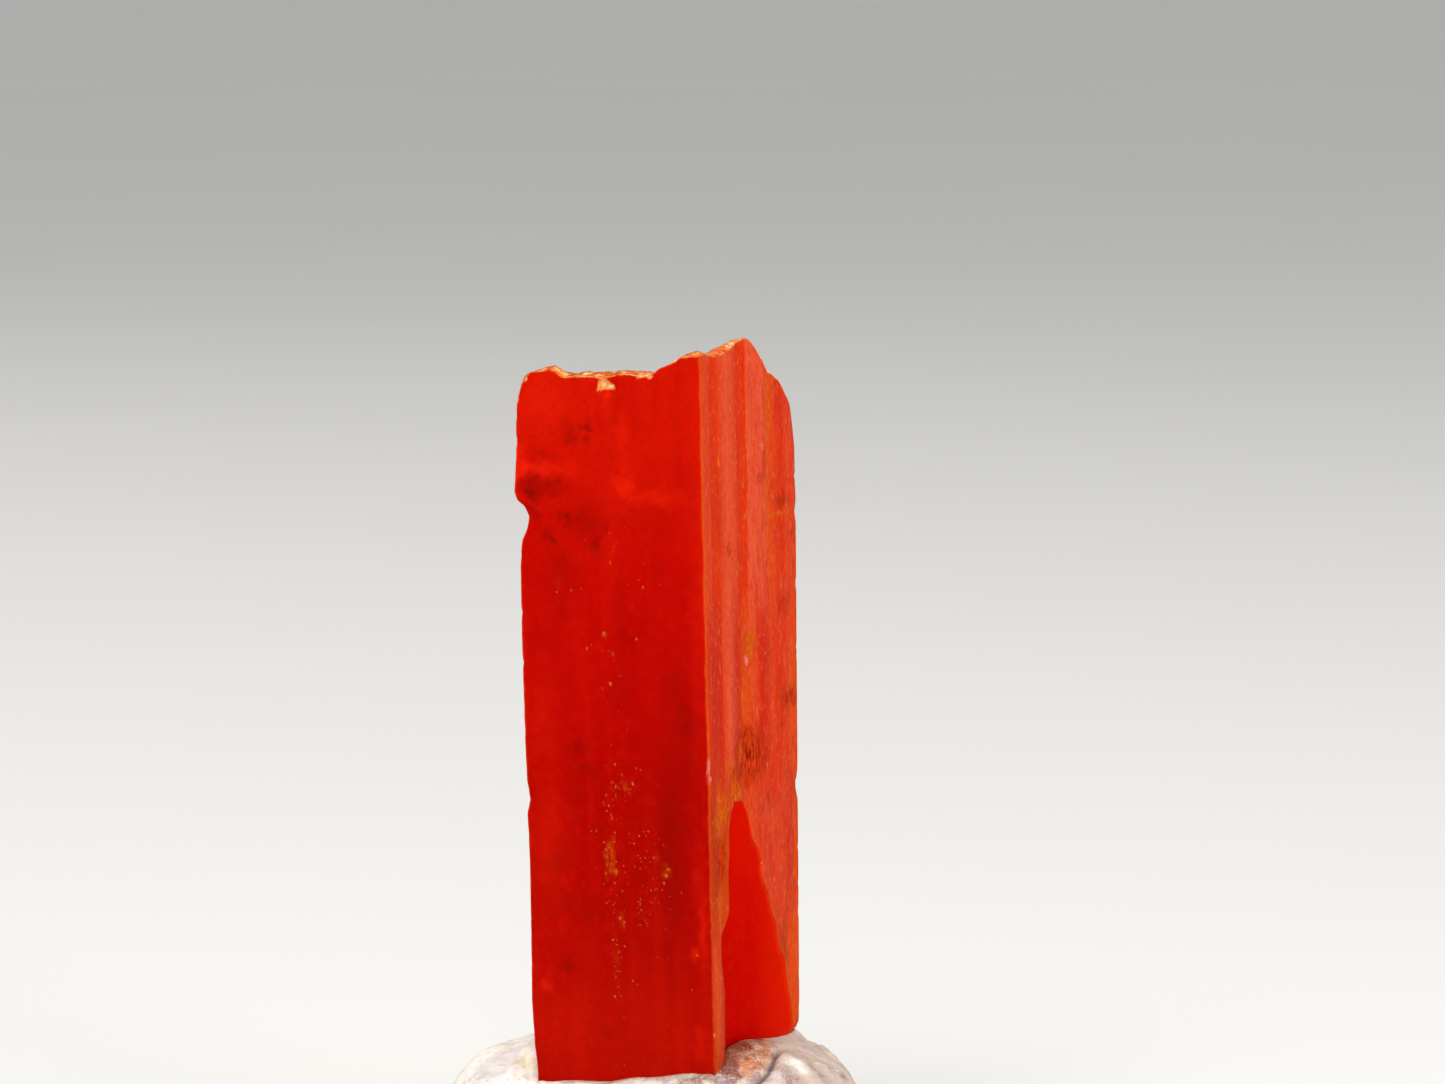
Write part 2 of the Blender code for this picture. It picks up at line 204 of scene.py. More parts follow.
def endTree(tree, graph, geometry, material):
    real = graph.node("GeometryNodeRealizeInstances", (), {"Geometry": geometry})
    dressed = graph.node("GeometryNodeSetMaterial", (), {"Geometry": real, "Material": material})
    tree.links.new(dressed.socket, tree.nodes.new("NodeGroupOutput").inputs[0])
    return tree


def pointPlace(graph):
    # the point's own place, in millimetres
    return graph.scaled(graph.node("GeometryNodeInputPosition"), 1 / mm)


def savedValue(graph, name, kind="FLOAT"):
    return graph.node("GeometryNodeInputNamedAttribute", {"data_type": kind}, {"Name": name})


def addObject(name, data):
    made = bpy.data.objects.new(name, data)
    bpy.context.scene.collection.objects.link(made)
    return made


def newObject(name, points, faces):
    # points in millimetres
    mesh = bpy.data.meshes.new(name)
    mesh.from_pydata((np.asarray(points) * mm).tolist(), [], faces)
    mesh.validate()
    return addObject(name, mesh)


def applyTree(source, tree, numbers, material, name):
    # runs a tree on an object and keeps the result as a plain mesh in its place
    modifier = source.modifiers.new(tree.name, "NODES")
    modifier.node_group = tree
    sockets = {s.name: s.identifier for s in tree.interface.items_tree if s.in_out == "INPUT"}
    for label, value in {**numbers, "Material": material}.items():
        modifier[sockets[label]] = value
    graph = bpy.context.evaluated_depsgraph_get()
    mesh = bpy.data.meshes.new_from_object(source.evaluated_get(graph), depsgraph=graph)
    mesh.name = name
    source.modifiers.clear()
    bpy.data.objects.remove(source)
    return addObject(name, mesh)


def saveValues(mesh, name, values):
    values = np.asarray(values, np.float32)
    kind, field = ("FLOAT", "value") if values.ndim == 1 else ("FLOAT_VECTOR", "vector")
    mesh.attributes.new(name, kind, "POINT").data.foreach_set(field, values.ravel())


def table(pairs, at):
    places, values = zip(*pairs)
    return np.interp(at, places, values)


def smoothStep(low, high, value):
    share = np.clip((value - low) / (high - low), 0, 1)
    return share * share * (3 - 2 * share)


def cells(here, following, flipped=False):
    # the corners of each cell of a grid, from every place and the next one along its row
    corners = [here[:-1], following[:-1], following[1:], here[1:]]
    if flipped:
        corners = corners[:1] + corners[:0:-1]
    return np.stack(corners, 2)


def raised(plan, height):
    # plan points with a height each
    return np.concatenate([plan, np.broadcast_to(height, plan.shape[:-1])[..., None]], -1)


def ripple(p, q, slow, quick, sizes=(0.09, 0.05)):
    # a wandering shift in mm: slow waves along p that waves along q bend, and quick slanting ones
    bent = np.sin(slow[0] * p + slow[1] * np.sin(slow[2] * q))
    return sizes[0] * bent + sizes[1] * np.sin(quick[0] * p + quick[1] * q)


def blots(rows, x, y, shiftX, shiftY, wide):
    # soft spots, the strongest at each place: x, y, half sizes, strength. Under a half size of wide, the
    # shifts that make their outlines wander get smaller.
    total = np.zeros(np.broadcast(x, y).shape)
    for spotX, spotY, halfX, halfY, strength in rows:
        awayX = x - spotX + shiftX * min(1, halfX / wide)
        awayY = y - spotY + shiftY * min(1, halfY / wide)
        total = np.maximum(total, strength * np.exp(-(awayX / halfX) ** 2 - (awayY / halfY) ** 2))
    return total


# the crystal: heights in mm above the base, places across a face as shares of its width

prism = {
    "width": 5.33,  # what the marks and the colours reckon with, on every face
    "frontWidth": 5.38, "rightWidth": 5.28, "angle": 93.7, "frontTurn": 23.8,
    "nearEdge": (1.47, -3.43), "halfway": 12.5,  # where the near edge stands, and at which height
    "nearLean": 0.0215, "leftLean": 0.0244, "rightLean": 0.0085,  # mm to the left per mm of height
    "foot": 1.5, "footSlope": (0.35, 0.2), "footRings": (0.85, 0.65, 0.4, 0.2), "shoulder": 19.4,
    # columns of the mesh: over the front, then over the right face before, at, on and beyond the plate
    "steps": {"front": 112, "strip": 24, "wall": 3, "plate": 22, "outer": 52},
    "rows": [  # where the mesh has its rows: from, to, how many
        (2.2, 10.0, 56), (10.1, 10.66, 8), (10.74, 11.4, 8), (11.5, 17.4, 44), (17.47, 19.4, 28),
    ],
    "rowsToRim": 38, "sharpAngle": 38,
    "capFade": 0.9,  # mm of the top over which the chips of its border fade out
    "relief": {
        "Striation depth": 0.014, "Striations per mm": 2.6, "Hackle height": 0.11, "Hackle size": 0.75,
        "Pit depth": 0.012, "Edge wear": 0.05, "Seed": 4.0,
    },
}
tile = 10  # each face has its own tile of the UV map: front, right, two at the back, top, foot

frontRim = [  # near edge to left edge: share of the width, height
    (0.0, 22.79), (0.1, 22.77), (0.134, 22.64), (0.227, 22.39), (0.254, 22.28), (0.314, 22.22),
    (0.366, 22.26), (0.441, 22.25), (0.496, 22.16), (0.54, 22.12), (0.585, 22.17), (0.712, 22.14),
    (0.745, 22.14), (0.778, 22.24), (0.812, 22.32), (0.909, 22.22), (0.949, 22.06), (0.973, 21.89),
    (1.0, 21.43),
]
rightRim = [  # near edge to right edge
    (0.0, 22.79), (0.164, 22.73), (0.223, 22.75), (0.294, 22.85), (0.4, 23.06), (0.447, 23.13),
    (0.497, 23.08), (0.544, 22.96), (0.592, 22.74), (0.653, 22.45), (0.712, 22.14), (0.76, 22.02),
    (0.822, 21.86), (0.871, 21.61), (0.931, 21.25), (0.968, 20.92), (0.988, 20.5), (1.0, 20.02),
]
brokenTop = {
    "rimReach": 0.2, "floor": 22.12, "fall": 0.75, "crestFade": 0.95, "crestEnd": (0.04, 0.3),
    "crest": [(0.0, 0.6), (0.2, 0.95), (0.45, 1.37), (0.6, 1.0), (0.75, 0.5), (1.0, 0.25)],
    "lipRise": 0.18, "lipStart": (0.28, 0.34), "lipPeak": 0.1, "lipEnd": 0.4, "hackle": 0.08,
    "humps": [  # share of the front, of the right, rise, spread
        (0.8, 0.05, 0.14, 0.05), (0.87, 0.06, 0.08, 0.04), (0.29, 0.05, 0.15, 0.04),
        (0.05, 0.07, 0.12, 0.06),
    ],
    "humpStart": 40,  # how steeply the humps set in behind the front rim
}
edgeChips = {  # how far each upright edge is broken inwards: height, depth
    (1, 0): [
        (2.0, 0.12), (3.4, 0.11), (3.9, 0.05), (4.3, 0.03), (5.2, 0.0), (7.1, 0.03), (9.0, 0.05),
        (10.3, 0.02), (10.66, 0.11), (11.2, 0.03), (12.3, 0.01), (15.0, 0.0), (17.2, 0.02), (17.7, 0.09),
        (18.0, 0.24), (18.31, 0.3), (18.56, 0.19), (18.77, -0.03), (18.99, -0.1), (19.6, -0.05),
        (20.0, -0.02), (20.8, 0.0), (21.5, 0.05), (22.0, 0.12),
    ],
    (0, 1): [
        (1.5, 1.6), (2.5, 1.35), (3.5, 0.85), (3.74, 0.5), (3.85, 0.26), (4.02, 0.1), (4.2, 0.02),
        (4.7, 0.0), (10.3, 0.0), (10.66, 0.07), (11.2, 0.0), (17.9, 0.0), (18.2, 0.04), (18.5, 0.0),
        (20.0, 0.03), (20.9, 0.08),
    ],
    (1, 1): [
        (2.0, 0.3), (3.5, 0.0), (7.6, 0.0), (8.1, 0.2), (8.9, 0.0), (14.2, 0.0), (14.8, 0.26), (15.1, 0.3),
        (16.2, 0.0), (20.0, 0.0), (21.1, 0.25),
    ],
}
chipReach, chipMargin = 2.2, 0.12
grooves = {  # share of the width, depth
    "right": [
        (0.0, 0.0), (0.06, 0.005), (0.139, 0.035), (0.185, 0.01), (0.27, 0.0), (0.375, 0.02), (0.415, 0.04),
        (0.48, 0.0), (0.634, -0.015), (0.66, 0.0), (0.695, 0.015), (0.756, 0.0), (1.0, 0.0),
    ],
    "backLeft": [
        (0.0, 0.0), (0.19, 0.0), (0.24, 0.09), (0.29, 0.02), (0.52, 0.0), (0.57, 0.16), (0.62, 0.13),
        (0.71, 0.0), (0.9, -0.02), (1.0, 0.0),
    ],
    "backRight": [
        (0.0, 0.0), (0.12, 0.0), (0.2, 0.05), (0.3, 0.0), (0.4, 0.0), (0.46, 0.14), (0.55, 0.12),
        (0.65, 0.0), (0.85, 0.03), (1.0, 0.0),
    ],
}
splitPlate = {  # low on the right face: height, share of the width at its left and right ends
    "left": [
        (4.2, 0.135), (5.6, 0.145), (6.0, 0.134), (6.5, 0.113), (7.2, 0.108), (7.4, 0.15), (7.8, 0.203),
        (8.9, 0.2), (9.4, 0.22), (10.0, 0.216), (10.4, 0.24), (10.7, 0.278),
    ],
    "right": [
        (4.2, 0.93), (4.8, 0.91), (5.12, 0.885), (5.7, 0.853), (6.07, 0.84), (6.31, 0.79), (6.63, 0.768),
        (7.05, 0.75), (7.42, 0.7), (7.77, 0.672), (8.0, 0.657), (8.2, 0.615), (8.45, 0.588), (8.72, 0.573),
        (8.86, 0.587), (9.14, 0.56), (9.35, 0.54), (9.45, 0.505), (9.63, 0.485), (10.02, 0.463),
        (10.31, 0.442), (10.55, 0.405), (10.7, 0.38),
    ],
    "top": 10.7, "wall": 0.012, "depths": (0.32, 0.035), "tipShare": 0.35, "tipLength": 2.5,
}
ledge = {"near": 18.62, "rise": 0.40, "depth": 0.022, "fade": 1.2}
frontChip = {"corners": [(0.536, 22.24), (0.448, 21.93), (0.55, 21.70)], "depth": 0.06, "bevel": 0.06}

marks = {  # what colours the faces: share of the width, height, half width and half height in mm, strength
    ("dark", "front"): [
        (0.719, 20.59, 0.27, 0.22, 0.7), (0.624, 20.8, 0.15, 0.11, 0.95), (0.62, 20.42, 0.12, 0.11, 0.9),
        (0.857, 19.98, 0.24, 0.14, 0.35), (0.909, 19.0, 0.24, 0.22, 1.0), (0.872, 19.17, 0.77, 0.26, 0.75),
        (0.713, 18.37, 0.33, 0.22, 0.95), (0.664, 18.27, 0.41, 0.32, 0.6), (0.825, 17.78, 0.24, 0.22, 0.85),
        (0.591, 17.65, 0.24, 0.22, 0.7), (0.637, 18.22, 0.83, 0.43, 0.55), (0.769, 16.93, 0.36, 0.65, 0.4),
        (0.773, 15.88, 0.12, 0.32, 0.45), (0.455, 15.53, 0.15, 1.62, 0.35), (0.337, 18.37, 1.18, 0.38, 0.22),
        (0.128, 13.37, 0.3, 0.24, 0.8), (0.164, 13.81, 0.41, 0.7, 0.5), (0.47, 13.51, 0.41, 0.59, 0.35),
        (0.12, 12.86, 0.41, 0.38, 0.7), (0.217, 11.7, 0.27, 1.35, 0.5), (0.165, 10.13, 0.27, 0.59, 0.5),
        (0.222, 10.62, 0.18, 1.62, 0.5), (0.198, 8.88, 0.33, 0.38, 0.5), (0.203, 7.82, 0.38, 0.43, 0.45),
        (0.252, 7.08, 0.12, 0.7, 0.6), (0.222, 6.03, 0.3, 1.08, 0.35), (0.697, 12.18, 0.24, 0.3, 0.55),
        (0.652, 11.57, 0.36, 0.16, 0.75), (0.82, 9.05, 0.36, 0.38, 0.3), (0.654, 7.67, 0.27, 0.35, 0.5),
        (0.777, 6.25, 0.27, 0.19, 0.7), (0.565, 4.46, 0.24, 0.22, 0.5), (0.394, 6.78, 1.18, 1.35, 0.2),
        (0.587, 9.97, 0.47, 1.62, 0.2), (0.785, 7.87, 0.47, 0.43, 0.25), (0.73, 11.0, 0.3, 0.54, 0.25),
        (0.215, 9.5, 0.55, 3.0, 0.68), (0.4, 8.0, 1.1, 4.6, 0.26), (0.12, 12.0, 0.45, 1.2, 0.42),
    ],
    ("dark", "right"): [
        (0.626, 19.26, 0.17, 0.12, 0.7), (0.4, 19.14, 0.11, 0.1, 0.5), (0.862, 18.58, 0.4, 0.14, 0.7),
        (0.935, 17.62, 0.23, 0.12, 0.9), (0.262, 17.54, 0.2, 0.12, 0.7), (0.388, 17.19, 0.15, 0.08, 0.8),
        (0.766, 21.74, 0.23, 0.15, 0.5), (0.185, 18.4, 0.23, 1.1, 0.35), (0.77, 17.54, 0.11, 0.15, 0.4),
        (0.607, 17.62, 0.14, 0.32, 0.3), (0.85, 15.67, 0.34, 0.16, 0.5), (0.909, 13.2, 0.34, 0.26, 0.7),
        (0.84, 13.13, 0.23, 0.18, 0.55), (0.804, 12.5, 0.23, 0.12, 0.7), (0.855, 11.18, 0.2, 0.13, 0.6),
        (0.406, 15.02, 0.23, 0.54, 0.35), (0.39, 14.16, 0.11, 0.3, 0.4), (0.401, 12.51, 0.28, 0.16, 0.5),
        (0.331, 12.04, 0.11, 0.42, 0.6), (0.388, 12.19, 0.11, 0.34, 0.45), (0.485, 11.72, 0.11, 0.44, 0.55),
        (0.517, 11.43, 0.11, 0.3, 0.45), (0.578, 12.26, 0.17, 0.42, 0.5), (0.442, 12.02, 0.1, 0.34, 0.45),
        (0.63, 11.63, 0.11, 0.54, 0.4), (0.103, 9.76, 0.14, 0.26, 0.45), (0.142, 9.11, 0.14, 0.2, 0.45),
        (0.095, 8.74, 0.1, 0.18, 0.3), (0.86, 5.95, 0.1, 0.05, 0.85), (0.875, 6.12, 0.05, 0.04, 0.6),
        # the row at share 0.04, height 3.9 is painted shade at the foot of the near strip, just above the
        # putty
        (0.763, 5.78, 0.17, 0.18, 0.5), (0.04, 3.9, 0.35, 0.35, 0.5), (0.67, 10.51, 0.17, 0.16, 0.45),
        (0.7, 14.44, 0.14, 0.54, 0.3),
    ],
    ("dark", "back"): [
        (0.3, 19.5, 0.3, 0.5, 0.6), (0.62, 16.0, 0.5, 0.4, 0.5), (0.2, 12.5, 0.3, 1.2, 0.5),
        (0.75, 10.5, 0.35, 0.9, 0.6), (0.45, 7.0, 0.4, 0.6, 0.5), (0.85, 18.0, 0.2, 0.6, 0.5),
    ],
    ("glow", "front"): [
        (0.93, 19.64, 0.47, 0.19, 1.0), (0.81, 19.61, 0.65, 0.16, 0.7), (0.865, 21.48, 0.71, 0.7, 0.35),
        (0.984, 19.79, 0.15, 0.43, 0.6), (0.42, 19.24, 0.24, 0.46, 0.8), (0.28, 19.0, 1.01, 0.19, 0.5),
        (0.424, 20.49, 0.15, 0.81, 0.4), (0.506, 21.59, 0.13, 0.26, 1.0), (0.583, 21.26, 0.06, 0.27, 0.5),
        (0.887, 9.6, 0.53, 1.89, 0.3), (0.885, 12.85, 0.41, 1.62, 0.2), (0.492, 17.8, 0.18, 1.35, 0.2),
        (0.046, 7.58, 0.12, 1.13, 0.5), (0.073, 8.79, 0.12, 0.54, 0.35), (0.92, 5.58, 0.18, 0.14, 0.8),
        (0.082, 6.73, 0.18, 0.14, 0.7), (0.847, 4.71, 1.78, 0.59, 0.12), (0.456, 5.4, 1.78, 0.43, 0.08),
        (0.076, 4.46, 0.15, 0.38, 0.5), (0.018, 17.38, 0.15, 3.24, 0.3),
    ],
    ("glow", "right"): [
        (0.781, 20.24, 0.28, 0.59, 0.7), (0.915, 15.06, 0.28, 0.18, 1.0), (0.628, 11.22, 0.45, 0.32, 0.8),
        (0.459, 11.25, 0.45, 0.2, 0.7), (0.846, 14.5, 0.45, 0.38, 0.4), (0.041, 7.7, 0.23, 0.43, 0.5),
        (0.917, 5.93, 0.17, 0.45, 0.9), (0.538, 9.24, 0.23, 0.43, 0.6), (0.45, 4.9, 1.2, 0.5, 0.35),
    ],
    ("glow", "back"): [(0.15, 20.5, 0.5, 0.9, 0.6), (0.8, 14.0, 0.4, 1.5, 0.4), (0.5, 5.5, 0.7, 0.7, 0.4)],
    ("ochre", "front"): [
        (0.785, 16.6, 0.12, 0.4, 0.2), (0.555, 9.3, 0.1, 0.65, 0.4), (0.548, 8.87, 0.14, 0.12, 0.6),
        (0.236, 8.95, 0.12, 0.25, 0.45), (0.488, 7.55, 0.13, 0.18, 0.4), (0.521, 8.84, 0.12, 0.09, 0.55),
        (0.529, 9.45, 0.07, 0.4, 0.5), (0.3, 9.3, 0.1, 0.09, 0.4), (0.53, 6.4, 0.12, 0.8, 0.25),
        (0.45, 11.2, 0.35, 0.25, 0.2), (0.549, 15.27, 0.12, 0.08, 0.5), (0.591, 17.5, 0.15, 0.12, 0.25),
    ],
    ("ochre", "right"): [
        (0.711, 21.35, 0.22, 0.38, 0.45), (0.729, 20.67, 0.18, 0.26, 0.45), (0.184, 19.91, 0.17, 0.1, 0.6),
        (0.362, 19.83, 0.15, 0.1, 0.7), (0.85, 18.24, 0.38, 0.09, 0.9), (0.75, 18.22, 0.25, 0.06, 0.7),
        (0.47, 18.36, 0.2, 0.13, 0.55), (0.376, 17.0, 0.15, 0.13, 0.9), (0.493, 14.89, 0.3, 0.32, 0.9),
        (0.385, 13.41, 0.2, 0.49, 0.5), (0.303, 11.16, 0.4, 0.36, 0.95), (0.334, 10.87, 0.24, 0.2, 1.0),
        (0.24, 11.61, 0.28, 0.27, 0.55), (0.147, 11.0, 0.45, 0.22, 0.5), (0.117, 10.07, 0.3, 0.81, 0.6),
        (0.36, 11.95, 0.12, 0.45, 0.8), (0.3, 11.05, 0.3, 0.3, 1.2), (0.49, 12.2, 0.15, 0.3, 0.5),
        (0.19, 10.6, 0.14, 0.4, 0.8), (0.078, 8.08, 0.28, 0.54, 0.35), (0.093, 5.91, 0.2, 0.16, 0.6),
        (0.406, 11.66, 0.11, 0.32, 0.4), (0.949, 8.34, 0.17, 0.16, 0.5), (0.573, 11.53, 0.11, 0.27, 0.3),
    ],
    ("ochre", "back"): [
        (0.22, 15.2, 0.2, 0.7, 0.7), (0.6, 8.6, 0.25, 0.6, 0.8), (0.9, 11.0, 0.15, 0.8, 0.5),
        (0.4, 21.0, 0.3, 0.3, 0.6),
    ],
    # veils: pale specks and streaks, and painted highlights and glints along the upright edges and by the
    # rim's chip
    ("veilAndHighlight", "front"): [
        (0.995, 13.68, 0.07, 0.13, 0.9), (0.004, 11.7, 0.05, 0.3, 0.8), (0.515, 21.93, 0.2, 0.13, 1.0),
        (0.97, 21.95, 0.08, 0.08, 0.8),
    ],
    ("veilAndHighlight", "right"): [
        (0.631, 20.17, 0.11, 0.1, 0.8), (0.446, 14.43, 0.09, 0.13, 0.9), (0.012, 11.8, 0.09, 0.34, 1.2),
        (0.018, 11.46, 0.12, 0.13, 1.2), (0.664, 11.5, 0.1, 0.09, 0.8), (0.512, 12.49, 0.06, 0.1, 0.7),
        (0.603, 8.67, 0.08, 0.07, 0.5), (0.635, 14.62, 0.08, 0.2, 0.5),
    ],
    ("veilAndHighlight", "back"): [(0.3, 17.2, 0.1, 0.3, 0.6), (0.7, 12.2, 0.08, 0.5, 0.6), (0.02, 9.5, 0.06, 0.3, 0.8)],
    # splinters: pale broken bits along the rim and on the top, with painted glints where the rim shines
    ("splinterAndGlint", "front"): [
        (0.5, 21.94, 0.2, 0.08, 1.0), (0.535, 21.99, 0.06, 0.12, 0.8), (0.54, 21.84, 0.06, 0.1, 0.6),
        (0.3, 22.22, 0.22, 0.05, 1.0), (0.42, 22.24, 0.1, 0.05, 0.6), (0.95, 22.05, 0.06, 0.06, 0.9),
        (0.998, 21.5, 0.05, 0.12, 0.9), (0.08, 22.77, 0.1, 0.05, 0.7), (0.745, 22.2, 0.05, 0.05, 0.8),
    ],
    ("splinterAndGlint", "right"): [
        (0.44, 23.1, 0.14, 0.06, 0.8), (0.36, 22.98, 0.1, 0.06, 0.5), (0.53, 22.97, 0.1, 0.06, 0.5),
        (0.02, 5.24, 0.11, 0.05, 0.6), (0.0, 4.69, 0.09, 0.08, 0.5),
    ],
    ("splinterAndGlint", "back"): [(0.5, 22.9, 0.3, 0.08, 0.8), (0.15, 22.0, 0.2, 0.06, 0.6)],
    ("splinterAndGlint", "top"): [
        (0.3, 0.03, 0.25, 0.12, 1.0), (0.44, 0.03, 0.15, 0.1, 0.8), (0.95, 0.05, 0.1, 0.15, 0.8),
        (0.72, 0.03, 0.12, 0.08, 0.7), (0.03, 2.4, 0.15, 0.25, 0.8), (0.04, 0.9, 0.12, 0.3, 0.6),
        (0.6, 2.6, 0.5, 0.25, 0.5), (0.35, 3.9, 0.3, 0.5, 0.5),
    ],
    ("etched", "front"): [(0.555, 9.2, 0.15, 0.9, 0.3), (0.24, 8.9, 0.2, 0.5, 0.3)],
    ("etched", "right"): [
        (0.463, 11.87, 0.75, 0.7, 1.3), (0.304, 11.3, 0.4, 0.4, 0.8), (0.11, 9.27, 0.36, 0.81, 0.9),
        (0.908, 13.18, 0.45, 0.27, 0.8), (0.851, 15.81, 0.6, 0.22, 0.4), (0.493, 14.83, 0.3, 0.27, 0.4),
        (0.862, 18.58, 0.45, 0.16, 0.5), (0.644, 14.34, 0.23, 1.08, 0.3), (0.262, 17.54, 0.23, 0.14, 0.5),
    ],
    ("etched", "back"): [(0.25, 15.0, 0.4, 0.9, 0.8), (0.6, 8.5, 0.4, 0.8, 0.9), (0.9, 11.0, 0.2, 0.9, 0.5)],
}
backTurn = 0.37  # the second back face has the first one's marks, moved on by this share of the width


def faceVectors():
    # the front and the right face in plan, each as it runs from the near edge
    turn = 180 - prism["frontTurn"]
    left, right = math.radians(turn), math.radians(turn - prism["angle"])
    return (
        prism["frontWidth"] * np.array([math.cos(left), math.sin(left)]),
        prism["rightWidth"] * np.array([math.cos(right), math.sin(right)]),
    )


def planPoint(acrossFront, acrossRight, height):
    front, right = faceVectors()
    a, b, rise = np.broadcast_arrays(acrossFront, acrossRight, np.asarray(height) - prism["halfway"])
    lean = prism["nearLean"] * rise
    x = prism["nearEdge"][0] - lean + a * (front[0] - (prism["leftLean"] - prism["nearLean"]) * rise)
    x = x + b * (right[0] - (prism["rightLean"] - prism["nearLean"]) * rise)
    y = prism["nearEdge"][1] + a * front[1] + b * right[1]
    return np.stack([x, y], axis=-1)


def toMiddle(plan, height):
    # plan directions towards the crystal's middle, one unit long
    inwards = planPoint(0.5, 0.5, height) - plan
    return inwards / np.linalg.norm(inwards, axis=-1, keepdims=True)


def topFloor(a, b):
    top = brokenTop
    crest = table(top["crest"], b) * (1 - top["crestFade"] * a) * (1 - smoothStep(*top["crestEnd"], a))
    lip = smoothStep(*top["lipStart"], a) * smoothStep(0, top["lipPeak"], b)
    lip = lip * (1 - smoothStep(top["lipPeak"], top["lipEnd"], b))
    steps = np.sin(9 * a + 4 * b) * np.sin(7 * b - 3 * a)
    return top["floor"] - top["fall"] * b + crest + top["lipRise"] * lip + top["hackle"] * steps


def topHeight(a, b):
    reach = brokenTop["rimReach"]
    shareA, shareB = (np.maximum(0, 1 - across / reach) ** 2 for across in (a, b))
    front = table(frontRim, a) - topFloor(a, 0 * b)
    right = table(rightRim, b) - topFloor(0 * a, b)
    corner = frontRim[0][1] - topFloor(0, 0)
    height = topFloor(a, b) + shareB * front + shareA * right - shareA * shareB * corner
    for acrossFront, acrossRight, rise, spread in brokenTop["humps"]:
        away = ((a - acrossFront) / spread) ** 2 + ((b - acrossRight) / spread) ** 2
        height = height + rise * np.exp(-away) * np.minimum(1, brokenTop["humpStart"] * b)
    return height


def footHeight(a, b):
    slope = prism["footSlope"][0] * a + prism["footSlope"][1] * b
    return prism["foot"] + slope + brokenTop["hackle"] * np.sin(8 * a) * np.sin(6 * b)


def frontRelief(across, height):
    # how deep the front face lies under its plane, and where the rim's chip is
    inChip = np.ones(np.broadcast(across, height).shape)
    corners = frontChip["corners"]
    for (u0, z0), (u1, z1) in zip(corners, corners[1:] + corners[:1]):
        runX, runZ = (u1 - u0) * prism["frontWidth"], z1 - z0
        distance = runZ * (across - u0) * prism["frontWidth"] - runX * (height - z0)
        distance = distance / math.hypot(runX, runZ)
        inChip = np.minimum(inChip, np.clip(-distance / frontChip["bevel"], 0, 1))
    below = ledge["near"] + ledge["rise"] * across - height
    step = ledge["depth"] * np.exp(-np.maximum(below, 0) / ledge["fade"]) * np.sin(np.pi * across)
    return frontChip["depth"] * inChip + np.where(below > 0, step, 0), inChip


def plateEnds(height):
    held = np.minimum(height, splitPlate["top"])
    return table(splitPlate["left"], held), table(splitPlate["right"], held)


def rightRelief(across, height):
    # how deep the right face lies under its plane, and where the plate has split off
    left, right = plateEnds(height)
    half = splitPlate["wall"] / 2
    onPlate = (height <= splitPlate["top"]) & (across > left + half) & (across < right - half)
    fromTip = np.clip((splitPlate["top"] - height) / splitPlate["tipLength"], 0, 1)
    inside = np.clip((across - left) / (right - left), 0, 1)
    bed = np.interp(inside, (0, 1), splitPlate["depths"])
    bed = bed * np.interp(fromTip, (0, 1), (splitPlate["tipShare"], 1))
    return np.where(onPlate, bed, table(grooves["right"], across)), onPlate * 1.0


def rightColumns(heights):
    # shares of the right face's width in each row, closer where the plate's ends are
    left, right = plateEnds(heights)
    steps, wall = prism["steps"], splitPlate["wall"]
    stops = [0 * left, left, left + wall, right - wall, right, 0 * left + 1]
    counts = [steps["strip"], steps["wall"], steps["plate"], steps["wall"], steps["outer"]]
    parts = []
    for start, end, count in zip(stops, stops[1:], counts):
        parts.append(start[:, None] + (end - start)[:, None] * (np.arange(count) / count))
    return np.concatenate(parts + [stops[-1][:, None]], axis=1)


def crystalSides():
    # a grid of points: rows up the side, columns round it from the near edge by right, far and left
    level = np.concatenate([np.linspace(*span) for span in prism["rows"]])
    shares = np.linspace(0, 1, prism["rowsToRim"] + 1)[1:]
    rowHeights = np.concatenate([level[:1], level, np.full(len(shares), prism["shoulder"])])
    right = rightColumns(rowHeights)
    wide, deep = prism["steps"]["front"], right.shape[1] - 1
    across = np.arange(wide + 1) / wide
    down = 1 - np.arange(deep) / deep
    full = np.ones((len(rowHeights), 1))
    a = [0 * right[:, :-1], full * across[:-1], full * np.ones(deep), full * across[:0:-1]]
    b = [right[:, :-1], full * np.ones(wide), full * down, full * np.zeros(wide)]
    a, b = np.concatenate(a, 1), np.concatenate(b, 1)
    side = np.repeat([1, 2, 3, 0], [deep, wide, deep, wide])
    z = np.repeat(rowHeights[:, None], a.shape[1], 1)
    z[0] = footHeight(a[0], b[0])
    above = 1 + len(level)
    z[above:] = prism["shoulder"] + shares[:, None] * (topHeight(a[above:], b[above:]) - prism["shoulder"])
    return a, b, z, np.broadcast_to(side, a.shape), across, deep


def sidePlaces(a, b, z, side):
    # plan points with the faces' relief and the edges' chips, and where they are broken or on the plate
    front, right = faceVectors()
    outFront = np.array([-front[1], front[0]]) / prism["frontWidth"]
    outRight = np.array([right[1], -right[0]]) / prism["rightWidth"]
    normals = np.array([outFront, outRight, -outFront, -outRight])[side]
    chipped, inChip = frontRelief(a, z)
    split, onPlate = rightRelief(b, z)
    behind = table(grooves["backRight"], a), table(grooves["backLeft"], b)
    relief = np.select([side == 0, side == 1, side == 2], [chipped, split, behind[0]], behind[1])
    points = planPoint(a, b, z) - relief[..., None] * normals
    for edge, chips in edgeChips.items():
        away = prism["frontWidth"] * abs(a - edge[0]) + prism["rightWidth"] * abs(b - edge[1])
        depth = table(chips, z)
        push = depth * np.maximum(0, 1 - away / (chipReach * abs(depth) + chipMargin))
        points = points + toMiddle(planPoint(*edge, z), z) * push[..., None]
    return points, normals, np.where(side == 0, inChip, 0), np.where(side == 1, onPlate, 0)


